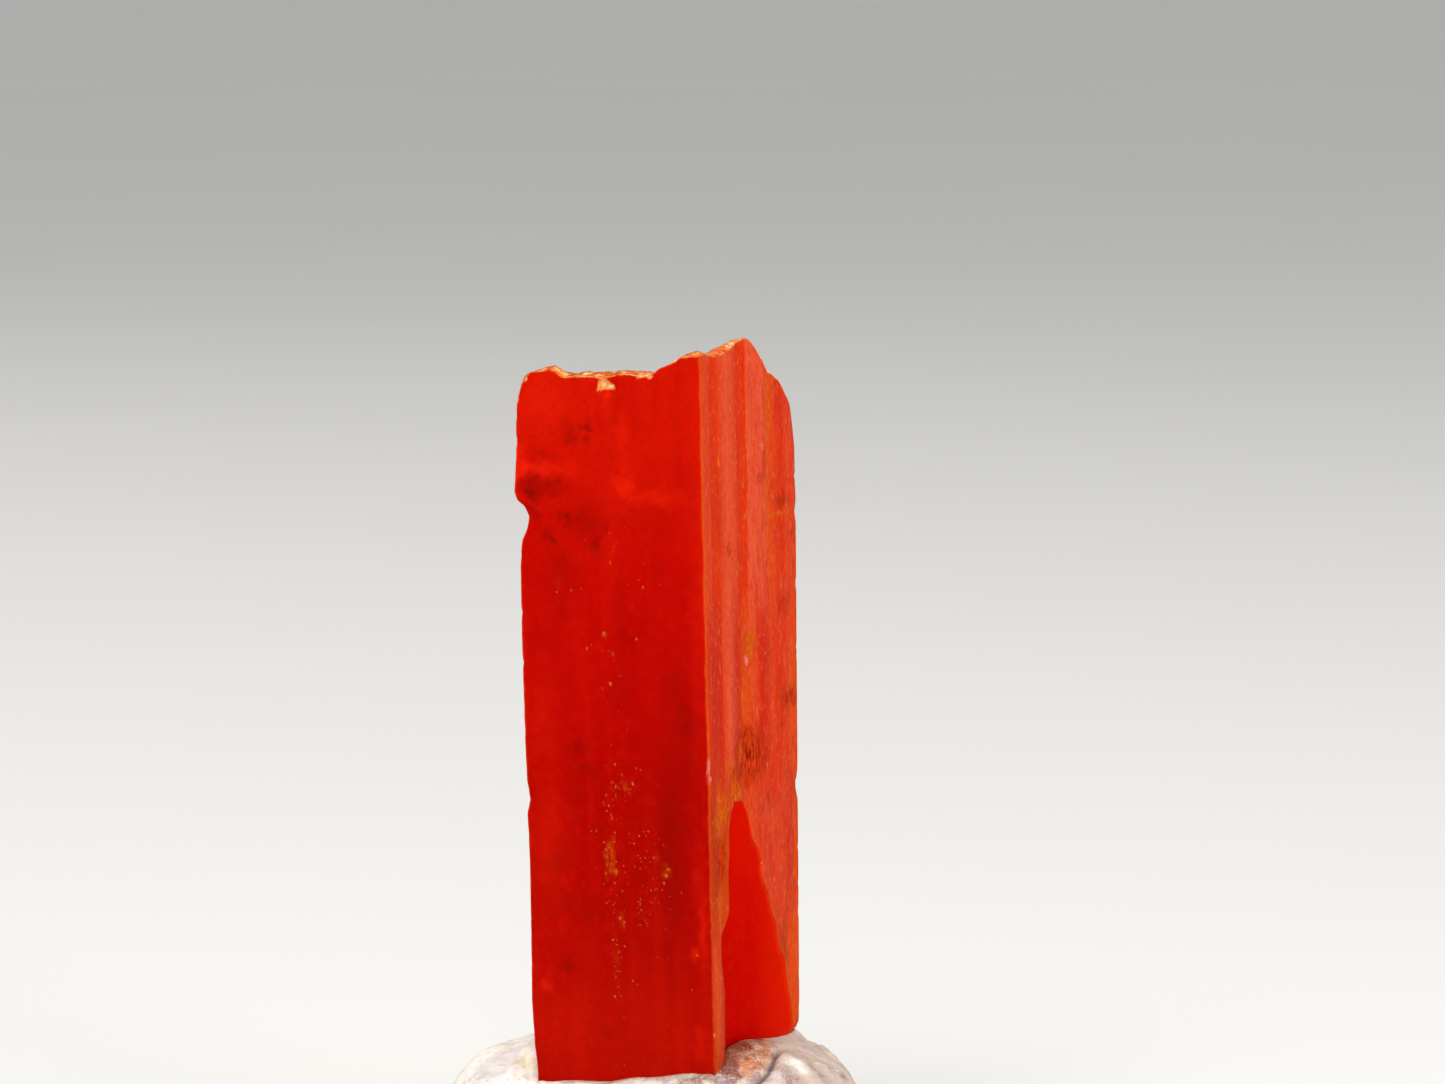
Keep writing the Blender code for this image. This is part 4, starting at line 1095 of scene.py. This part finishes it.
def roundCrystal(plan):
    # how far round the crystal a point of its outline lies, 0 to 4, one for each face
    front, right = faceVectors()
    a, b = np.linalg.solve(np.stack([front, right], 1), (plan - planPoint(0, 0, putty["top"])).T)
    a, b = np.clip(a, 0, 1), np.clip(b, 0, 1)
    nearest = np.argmin([a, 1 - b, 1 - a, b], axis=0)  # right, far, left, front
    return np.choose(nearest, [b, 1 + a, 3 - b, 4 - a])


def puttyHeight(x, y, share):
    top = putty["top"] + putty["tilt"] * y
    dome = np.sqrt(np.maximum(0, 1 - share ** putty["domePower"]))
    height = putty["equator"] + (top - putty["equator"]) * dome
    for lumpX, lumpY, rise, spread in putty["lumps"]:
        lump = rise * np.exp(-((x - lumpX) ** 2 + (y - lumpY) ** 2) / (2 * spread ** 2))
        height = height + lump * (1 - share ** putty["lumpFade"])
    return height


def creaseValue(x, y):
    # how far the kneading creases go down here, and how deep into a crease this is, 0 to 1, for the painted
    # shade in the creases
    depth, colour = np.zeros(x.shape), np.zeros(x.shape)
    for crease, halfWidth, route in putty["creases"]:
        nearest, along = np.full(x.shape, np.inf), np.zeros(x.shape)
        for step, ((x0, y0), (x1, y1)) in enumerate(zip(route, route[1:])):
            run = np.array([x1 - x0, y1 - y0])
            share = np.clip(((x - x0) * run[0] + (y - y0) * run[1]) / (run @ run), 0, 1)
            away = np.hypot(x - x0 - share * run[0], y - y0 - share * run[1])
            along = np.where(away < nearest, (step + share) / (len(route) - 1), along)
            nearest = np.minimum(nearest, away)
        taper = np.sqrt(np.sin(np.pi * np.clip(along, 0.02, 0.98)))
        inside = np.exp(-(nearest / halfWidth) ** 2) * taper
        shoulder = 0.35 * np.exp(-(nearest / (3 * halfWidth)) ** 2)
        depth = np.maximum(depth, crease * (inside - shoulder))
        colour = np.maximum(colour, inside ** 2 * (crease / putty["deepCrease"]) ** 2)
    return depth, colour


def smoothed(values, reach):
    # a running mean round a closed line
    wrapped = np.concatenate([values[-reach:], values, values[:reach]])
    return np.convolve(wrapped, np.ones(2 * reach + 1) / (2 * reach + 1), "valid")


def makePuttyMesh():
    count, topRings = putty["columns"], putty["topRings"]
    angle = 2 * np.pi * np.arange(count) / count
    distance = smoothed(table(putty["outline"], np.degrees(angle)), 6)
    outer = np.stack([distance * np.cos(angle), distance * np.sin(angle)], -1)
    outer = outer - (outer.min(axis=0) + outer.max(axis=0)) / 2
    low, lip = crossSection(prism["foot"]), crossSection(putty["top"])
    middle = planPoint(0.5, 0.5, prism["foot"])
    lipHeight = smoothed(table(putty["lip"], roundCrystal(lip)), 2)
    rings, creaseShade = [], []

    def addRing(plan, height, crease=0.0):
        rings.append(raised(plan, height))
        creaseShade.append(np.broadcast_to(crease, count))

    for share in putty["socketRings"]:
        addRing(middle + share * (low - middle), putty["socketFloor"])
    addRing(low + 0.5 * (lip - low), putty["socketBend"])
    for ring in range(topRings + 1):
        share = math.sin(0.5 * math.pi * ring / topRings)
        plan = lip + share * (outer - lip)
        settle = math.exp(-(share / putty["lipWidth"]) ** 2)
        height = puttyHeight(plan[:, 0], plan[:, 1], share)
        height = height + settle * (lipHeight - puttyHeight(lip[:, 0], lip[:, 1], 0.0))
        down, colour = creaseValue(plan[:, 0], plan[:, 1])
        addRing(plan, height - down * (1 - share ** putty["creaseFade"]), colour)
    for height, share in putty["flank"]:
        addRing(outer * share, height)
    points = np.concatenate(rings + [np.array([[*middle, putty["socketFloor"]], [0, 0, 0]])])
    index = np.arange(len(rings) * count).reshape(len(rings), count)
    following = np.roll(index, -1, axis=1)
    faces = cells(index, following, True).reshape(-1, 4).tolist()
    first, last = len(points) - 2, len(points) - 1
    faces += np.stack([index[0], following[0], np.full(count, first)], -1).tolist()
    faces += np.stack([following[-1], index[-1], np.full(count, last)], -1).tolist()
    made = newObject("puttySource", points, faces)
    paintPutty(made.data, points, rings, creaseShade, lip)
    return made


def paintPutty(mesh, points, rings, creaseShade, lip):
    x, y, z = points.T
    # how deep into a crease each point lies, for the painted shade there
    saveValues(mesh, "crease", np.concatenate([*creaseShade, [0, 0]]))
    # painted contact shade round the crystal, fullest on the front side
    seated = []
    for ring in rings:
        shadeShare = np.interp(ring[:, 1], putty["seatShadeFrom"], (1, putty["seatShadeLeast"]))
        away = np.linalg.norm(ring[:, :2] - lip, axis=1)
        seated.append(shadeShare * np.exp(-(away / putty["seatReach"]) ** 2))
    saveValues(mesh, "seatShade", np.concatenate([*seated, [0, 0]]))
    wander = ripple(x, y, (5.3, 2.1, 4.1), (-9, 13), (0.05, 0.04))
    for name, (_, _, rows) in putty["stainsAndLight"].items():
        saveValues(mesh, name, blots(rows, x, y, wander, -wander, 0.01) * (z > putty["stainsAndLightFrom"]))

    # the kneading fades out near the ground, beside the crystal and in the socket
    fromLip = np.sin(0.5 * np.pi * np.linspace(0, 1, putty["topRings"] + 1))
    fade = [np.zeros(len(putty["socketRings"]) + 1), 0.25 + 0.75 * smoothStep(0.0, 0.2, fromLip)]
    fade = np.repeat(np.concatenate([*fade, np.ones(len(putty["flank"]))]), len(lip))
    kneaded = smoothStep(0.05, 0.6, z) * (z > 0) * np.concatenate([fade, [0, 1]])
    saveValues(mesh, "kneaded", np.where(np.hypot(x, y) < 1.0, 0, kneaded))


def kneadTree():
    tree, graph, given = newTree("kneading", putty["kneading"])
    seed, size = given("Seed"), given("Fold size")
    shifted = graph.vector("ADD", pointPlace(graph), graph.join(seed, seed * 1.7, 0.0))
    bent = graph.noise(graph.vector("DIVIDE", shifted, graph.join(size, size, size)), 1.0, 2.0, 0.5, 0.8)
    # folds are thin valleys where the noise crosses its middle
    fold = graph.smooth(1 - abs(bent - 0.5) * putty["foldNarrowness"], 0.0, 1.0)
    swell = graph.noise(shifted, 0.55, 2.0) - 0.5
    dimples = graph.noise(shifted, 2.6, 3.0, 0.6) - 0.5
    out = swell * putty["swell"] + (1 - fold) * given("Fold depth") - dimples * given("Dimple") * 2
    out = out * savedValue(graph, "kneaded")
    offset = graph.scaled(graph.node("GeometryNodeInputNormal"), out * mm)
    kept = graph.node("GeometryNodeStoreNamedAttribute", {"data_type": "FLOAT", "domain": "POINT"}, {
        "Geometry": given("Geometry"), "Name": "fold", "Value": fold,
    })
    moved = graph.node("GeometryNodeSetPosition", (), {"Geometry": kept, "Offset": offset})
    return endTree(tree, graph, moved, given("Material"))


def puttyMaterial():
    material, graph, feed = newMaterial("mineralPutty", {
        "IOR": 1.47, "Subsurface Weight": 0.15, "Subsurface Radius": (1.0, 0.8, 0.7),
        "Subsurface Scale": 0.3 * mm,
    })
    place = objectPlace(graph)
    stretched = graph.vector("MULTIPLY", place, (1.0, 1.0, 2.4))
    marble = graph.noise(stretched, 0.5, 4.0, 0.6, 1.0)
    patches = graph.noise(place, 1.1, 4.0, 0.6, 0.4)
    vein = graph.noise(stretched, 1.7, 5.0, 0.7, 0.8)
    smudge = graph.noise(place, 4.5, 4.0, 0.7)
    grain = graph.noise(place, 11.0, 4.0, 0.7)
    speckle = graph.noise(place, 19.0, 2.0, 0.6)
    side = graph.smooth(graph.part(place, 0) + (marble - 0.5) * 3, 0.0, 3.6)
    body = graph.mottled(
        graph.mix(side, tint(239, 232, 223), tint(200, 180, 164)),
        (patches, 0.50, 0.66, 0.5, (214, 200, 206)),
        (patches, 0.46, 0.32, 0.45, (232, 214, 178)),
        (vein, 0.54, 0.68, 0.36 + 0.16 * side, (160, 146, 142)),
        (smudge, 0.54, 0.68, 0.34 + 0.18 * side, (146, 130, 128)),
        (grain, 0.58, 0.76, 0.2 + 0.2 * side, (118, 94, 88)),
    )

    def paintedPatch(name):
        # a painted patch, stain and painted light alike, whose edges the clay's own texture breaks up
        return graph.smooth(surfaceValue(graph, name) * (1 + (smudge + grain - 1) * 2.2), 0.0, 1.15)

    # the putty's stains together with its painted shade and painted highlights
    stainsAndLight = [(paintedPatch(name) * amount, rgb) for name, (rgb, amount, _) in putty["stainsAndLight"].items()]
    # the brownish band round the crystal is painted contact shade
    body = graph.coat(body, (paintedPatch("seatShade") * 0.85, (152, 116, 76)), *stainsAndLight)
    # more dark speckle on the brown and rosy patches and the painted shade
    stainAndShade = graph.smooth(sum(surfaceValue(graph, name) for name in ("rosy", "brown", "shade")), 0.2, 1.0)
    feed("Base Color", graph.mottled(
        body,
        # painted shade along the folds
        (surfaceValue(graph, "fold"), 0.35, 1.0, 0.2, (150, 130, 140)),
        (speckle, 0.53, 0.66, 0.12 + 0.45 * stainAndShade, (104, 60, 34)),
        (speckle, 0.47, 0.34, 0.12 + 0.12 * stainAndShade, (236, 190, 150)),
        # painted shade in the creases, darkest where they are deepest
        (surfaceValue(graph, "crease") + (grain - 0.5) * 0.4, 0.1, 0.9, 0.8, (84, 58, 66)),
    ))
    feed("Roughness", 0.42 + 0.25 * vein)
    feed("Normal", graph.bump(grain * 0.6 + vein, 0.5, 0.05))
    return material


def makePutty():
    made = applyTree(makePuttyMesh(), kneadTree(), putty["kneading"], puttyMaterial(), "kneaded_putty")
    finishMesh(made, putty["sharpAngle"])
    made.visible_glossy = False  # kept out of the crystal's mirror-like faces, as the floor is
    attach(made, "root")
    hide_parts("mounting_putty")
    return made


# clay grains on the front face, and grit in the putty

grains = {
    "placed": [  # share across the front face, height, size in mm
        (0.549, 15.27, 0.13), (0.644, 14.86, 0.07), (0.621, 14.95, 0.05), (0.502, 14.74, 0.1),
        (0.375, 15.18, 0.09), (0.335, 16.58, 0.09), (0.237, 16.66, 0.06), (0.467, 14.18, 0.1),
        (0.522, 13.95, 0.1), (0.567, 13.78, 0.09), (0.42, 18.17, 0.06), (0.723, 16.4, 0.08),
        (0.8, 16.33, 0.07), (0.393, 21.35, 0.05), (0.316, 20.62, 0.05), (0.506, 11.78, 0.08),
        (0.392, 11.7, 0.08), (0.419, 11.75, 0.05), (0.365, 11.66, 0.06), (0.525, 11.28, 0.06),
        (0.504, 11.18, 0.07), (0.471, 11.08, 0.09), (0.438, 11.12, 0.09), (0.41, 11.27, 0.09),
        (0.426, 11.42, 0.06), (0.56, 10.92, 0.07), (0.577, 10.73, 0.07), (0.545, 10.63, 0.07),
        (0.562, 10.49, 0.05), (0.652, 10.05, 0.1), (0.647, 9.92, 0.06), (0.577, 9.64, 0.07),
        (0.567, 9.43, 0.09), (0.563, 9.24, 0.1), (0.558, 9.06, 0.08), (0.548, 8.87, 0.14),
        (0.521, 8.85, 0.09), (0.571, 8.81, 0.09), (0.413, 9.62, 0.1), (0.362, 9.99, 0.06),
        (0.384, 9.87, 0.05), (0.31, 9.33, 0.12), (0.327, 9.19, 0.07), (0.377, 9.17, 0.07),
        (0.383, 8.98, 0.07), (0.354, 9.29, 0.05), (0.23, 9.03, 0.12), (0.242, 8.84, 0.13),
        (0.254, 8.64, 0.1), (0.293, 8.47, 0.07), (0.558, 8.05, 0.07), (0.536, 7.95, 0.07),
        (0.515, 7.82, 0.07), (0.387, 8.19, 0.05), (0.388, 8.03, 0.08), (0.383, 7.87, 0.06),
        (0.5, 7.61, 0.09), (0.478, 7.51, 0.12), (0.495, 7.37, 0.08), (0.373, 7.66, 0.05),
        (0.357, 7.53, 0.05), (0.391, 7.46, 0.05), (0.541, 7.0, 0.07), (0.52, 6.87, 0.08), (0.51, 6.71, 0.08),
        (0.539, 6.3, 0.08), (0.518, 6.17, 0.09), (0.53, 6.0, 0.07), (0.5, 6.36, 0.05), (0.409, 5.85, 0.08),
        (0.437, 5.93, 0.05), (0.538, 5.48, 0.09), (0.528, 5.38, 0.06), (0.114, 5.8, 0.08),
        (0.92, 5.58, 0.09), (0.082, 6.76, 0.07),
    ],
    "trails": [  # share, top, bottom, spread, count
        (0.54, 15.3, 11.5, 0.09, 16), (0.53, 11.5, 7.6, 0.08, 64), (0.36, 10.2, 7.4, 0.07, 40),
        (0.52, 7.6, 5.4, 0.05, 16), (0.47, 11.4, 10.8, 0.05, 16), (0.45, 18.6, 16.0, 0.18, 20),
        (0.5, 5.4, 3.6, 0.2, 14), (0.25, 10.0, 6.5, 0.06, 20),
    ],
    "looseness": 0.6, "margin": 0.02, "trailSize": (0.03, 0.065), "sink": 0.1125,
    "drawn": (0.8, 1.7), "flatness": 0.32, "roughness": 0.6, "seed": 5,
    "stops": [
        (0.0, (150, 24, 0)), (0.3, (164, 38, 0)), (0.6, (176, 52, 4)), (0.85, (186, 70, 10)),
        (1.0, (200, 98, 30)),
    ],
}
crumbs = {
    "count": 130, "size": (0.05, 0.13), "sink": 0.3, "drawn": (0.7, 1.5), "flatness": 0.7,
    "roughness": 0.6, "seed": 9,
    # where it lies: above this height, on skin that faces up this much, this far from the crystal's middle
    "lowest": 0.9, "facingUp": -0.1, "fromMiddle": 3.9,
    "stops": [
        (0.0, (96, 58, 44)), (0.3, (150, 104, 84)), (0.6, (212, 196, 180)), (0.8, (238, 232, 222)),
        (0.9, (206, 60, 24)), (1.0, (226, 96, 40)),
    ],
}


def grainTree():
    tree, graph, given = newTree("scatteredGrains", ("Flatness", "Roughness"))
    ball = graph.node("GeometryNodeMeshUVSphere", (), {"Segments": 8, "Rings": 5, "Radius": 0.5})
    facing = graph.node("FunctionNodeAlignRotationToVector", {"axis": "Z"}, {
        "Vector": savedValue(graph, "outward", "FLOAT_VECTOR"),
    })
    size = savedValue(graph, "size")
    spread = graph.join(size * mm, size * savedValue(graph, "drawn") * mm, size * given("Flatness") * mm)
    placed = graph.node("GeometryNodeInstanceOnPoints", (), {
        "Points": given("Geometry"), "Instance": ball, "Rotation": facing, "Scale": spread,
    })
    real = graph.node("GeometryNodeRealizeInstances", (), {"Geometry": placed})
    lumps = graph.node("ShaderNodeTexNoise", (), {
        "Vector": pointPlace(graph), "Scale": 14.0, "Detail": 1.0,
    }, "Color")
    shift = graph.vector("SUBTRACT", lumps, (0.5, 0.5, 0.5))
    offset = graph.scaled(shift, size * given("Roughness") * mm)
    moved = graph.node("GeometryNodeSetPosition", (), {"Geometry": real, "Offset": offset})
    return endTree(tree, graph, moved, given("Material"))


def grainMaterial(name, stops):
    material, graph, feed = newMaterial(name, {"IOR": 1.5, "Specular IOR Level": 0.15})
    mottle = graph.noise(objectPlace(graph), 18.0, 3.0, 0.6)
    feed("Base Color", graph.ramp(surfaceValue(graph, "tone") * 0.8 + mottle * 0.25, stops))
    feed("Roughness", 0.55 + mottle * 0.3)
    feed("Normal", graph.bump(mottle, 0.6, 0.02))
    return material


def scatter(name, kind, material, points, outward, size, chance):
    # a small lump at each point, drawn out and toned at random
    source = newObject(name + "Points", points, [])
    drawn = chance.uniform(*kind["drawn"], len(points))
    tone = chance.uniform(0, 1, len(points))
    for key, values in (("outward", outward), ("size", size), ("drawn", drawn), ("tone", tone)):
        saveValues(source.data, key, values)
    numbers = {"Flatness": kind["flatness"], "Roughness": kind["roughness"]}
    made = applyTree(source, grainTree(), numbers, grainMaterial(material, kind["stops"]), name)
    made.data.shade_smooth()
    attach(made, "root")
    return made


def makeGrains():
    chance = np.random.default_rng(grains["seed"])
    rows = list(grains["placed"])
    for share, top, bottom, spread, count in grains["trails"]:
        for _ in range(count):
            rows.append((
                share + chance.normal() * spread * grains["looseness"], chance.uniform(bottom, top),
                chance.uniform(*grains["trailSize"]),
            ))
    share, height, size = np.array(rows).T
    share = np.clip(share, grains["margin"], 1 - grains["margin"])
    plan, normals, _, _ = sidePlaces(share, 0 * share, height, np.zeros(len(rows), int))
    points = raised(plan - normals * (size * grains["sink"])[:, None], height)
    made = scatter("clay_grains", grains, "clayGrains", points, raised(normals, 0.0), size, chance)
    return made


def makeCrumbs(carrier):
    mesh = carrier.data
    places, normals = np.empty((2, len(mesh.vertices) * 3), np.float32)
    mesh.vertices.foreach_get("co", places)
    mesh.vertices.foreach_get("normal", normals)
    places, normals = places.reshape(-1, 3) / mm, normals.reshape(-1, 3)
    away = np.linalg.norm(places[:, :2] - planPoint(0.5, 0.5, 3.0), axis=1)
    fits = (places[:, 2] > crumbs["lowest"]) & (normals[:, 2] > crumbs["facingUp"])
    fits = fits & (away > crumbs["fromMiddle"])
    chance = np.random.default_rng(crumbs["seed"])
    chosen = chance.choice(np.flatnonzero(fits), crumbs["count"], replace=False)
    size = chance.uniform(*crumbs["size"], crumbs["count"])
    points = places[chosen] - normals[chosen] * (size * crumbs["sink"])[:, None]
    made = scatter("putty_grit", crumbs, "puttyGrit", points, normals[chosen], size, chance)
    return made


# floor, light and camera

studio = {
    "floorSize": 8000, "floorTint": (226, 224, 220), "floorDark": 0.96, "world": (0.62, 0.63, 0.64, 1),
    "camera": {
        "target": (1.87, 0, 17.5), "distance": 180, "elevation": 6, "mmPerPixel": 0.027,
        "pixelsWide": 1445, "sensorWidth": 36, "farthest": 20000,
    },
    "lampTarget": (0, 0, 12),
    "lamps": {  # direction from the crystal, distance, width, height in mm, strength in mW, light values
        "keyLamp": ((-0.22, -0.72, 0.95), 260, 170, 150, 500, (1.0, 0.99, 0.97)),
        "fillLamp": ((0.80, -0.62, 0.30), 300, 200, 160, 420, (0.98, 0.99, 1.0)),
        "sheenLamp": ((0.67, 0.74, 0.06), 110, 60, 150, 1.5, (0.96, 0.98, 1.0)),
        "topLamp": ((-0.1, 0.35, 1.0), 240, 160, 160, 90, (1.0, 1.0, 1.0)),
        "backLamp": ((-0.7, 0.7, 0.5), 300, 200, 200, 100, (1.0, 0.98, 0.96)),
    },
}


def makeFloor():
    half = studio["floorSize"] / 2
    corners = [(x * half, y * half, 0) for x, y in ((-1, -1), (1, -1), (1, 1), (-1, 1))]
    floor = newObject("floor", corners, [(0, 1, 2, 3)])
    material, graph, feed = newMaterial("paleFloor", {"Roughness": 0.75, "Specular IOR Level": 0.2})
    light = tint(*studio["floorTint"])
    dark = tuple(studio["floorDark"] * c for c in light[:3]) + (1,)
    feed("Base Color", graph.mix(graph.noise(objectPlace(graph), 0.02, 3.0), light, dark))
    floor.data.materials.append(material)
    floor.visible_glossy = False  # the crystal's mirror-like faces don't show it


def makeWorld():
    world = bpy.data.worlds.new("softStudio")
    bpy.context.scene.world = world
    world.use_nodes = True
    world.node_tree.nodes["Background"].inputs["Color"].default_value = studio["world"]
    world.cycles_visibility.glossy = False  # only the lamps shine on the faces


def makeLamps():
    for name, (direction, distance, wide, high, power, light) in studio["lamps"].items():
        data = bpy.data.lights.new(name, "AREA")
        data.shape, data.size, data.size_y = "RECTANGLE", wide * mm, high * mm
        data.energy, data.color = power * mm, light
        lamp = addObject(name, data)
        towards = Vector(direction).normalized()
        lamp.location = Vector(studio["lampTarget"]) * mm + towards * distance * mm
        lamp.rotation_euler = towards.to_track_quat("Z", "Y").to_euler()
        lamp.visible_camera = False


def makeCamera():
    view = studio["camera"]
    data = bpy.data.cameras.new("photoCamera")
    data.sensor_width = view["sensorWidth"]
    data.lens = view["sensorWidth"] * view["distance"] / (view["mmPerPixel"] * view["pixelsWide"])
    data.clip_start, data.clip_end = 1 * mm, view["farthest"] * mm
    camera = addObject("photoCamera", data)
    tilt = math.radians(view["elevation"])
    back = Vector((0, -math.cos(tilt), math.sin(tilt)))
    camera.location = (Vector(view["target"]) + back * view["distance"]) * mm
    camera.rotation_euler = (math.pi / 2 - tilt, 0, 0)
    bpy.context.scene.camera = camera


bpy.context.scene.view_settings.view_transform = "Standard"
makeCamera()
makeFloor()
makeWorld()
makeLamps()
print("studio ready")
crystalPiece = makeCrystal()
print("crystal:", len(crystalPiece.data.polygons), "faces")
puttyPiece = makePutty()
print("putty:", len(puttyPiece.data.polygons), "faces")
grainPiece = makeGrains()
crumbPiece = makeCrumbs(puttyPiece)
print("grains:", len(grainPiece.data.polygons), "and", len(crumbPiece.data.polygons), "faces")
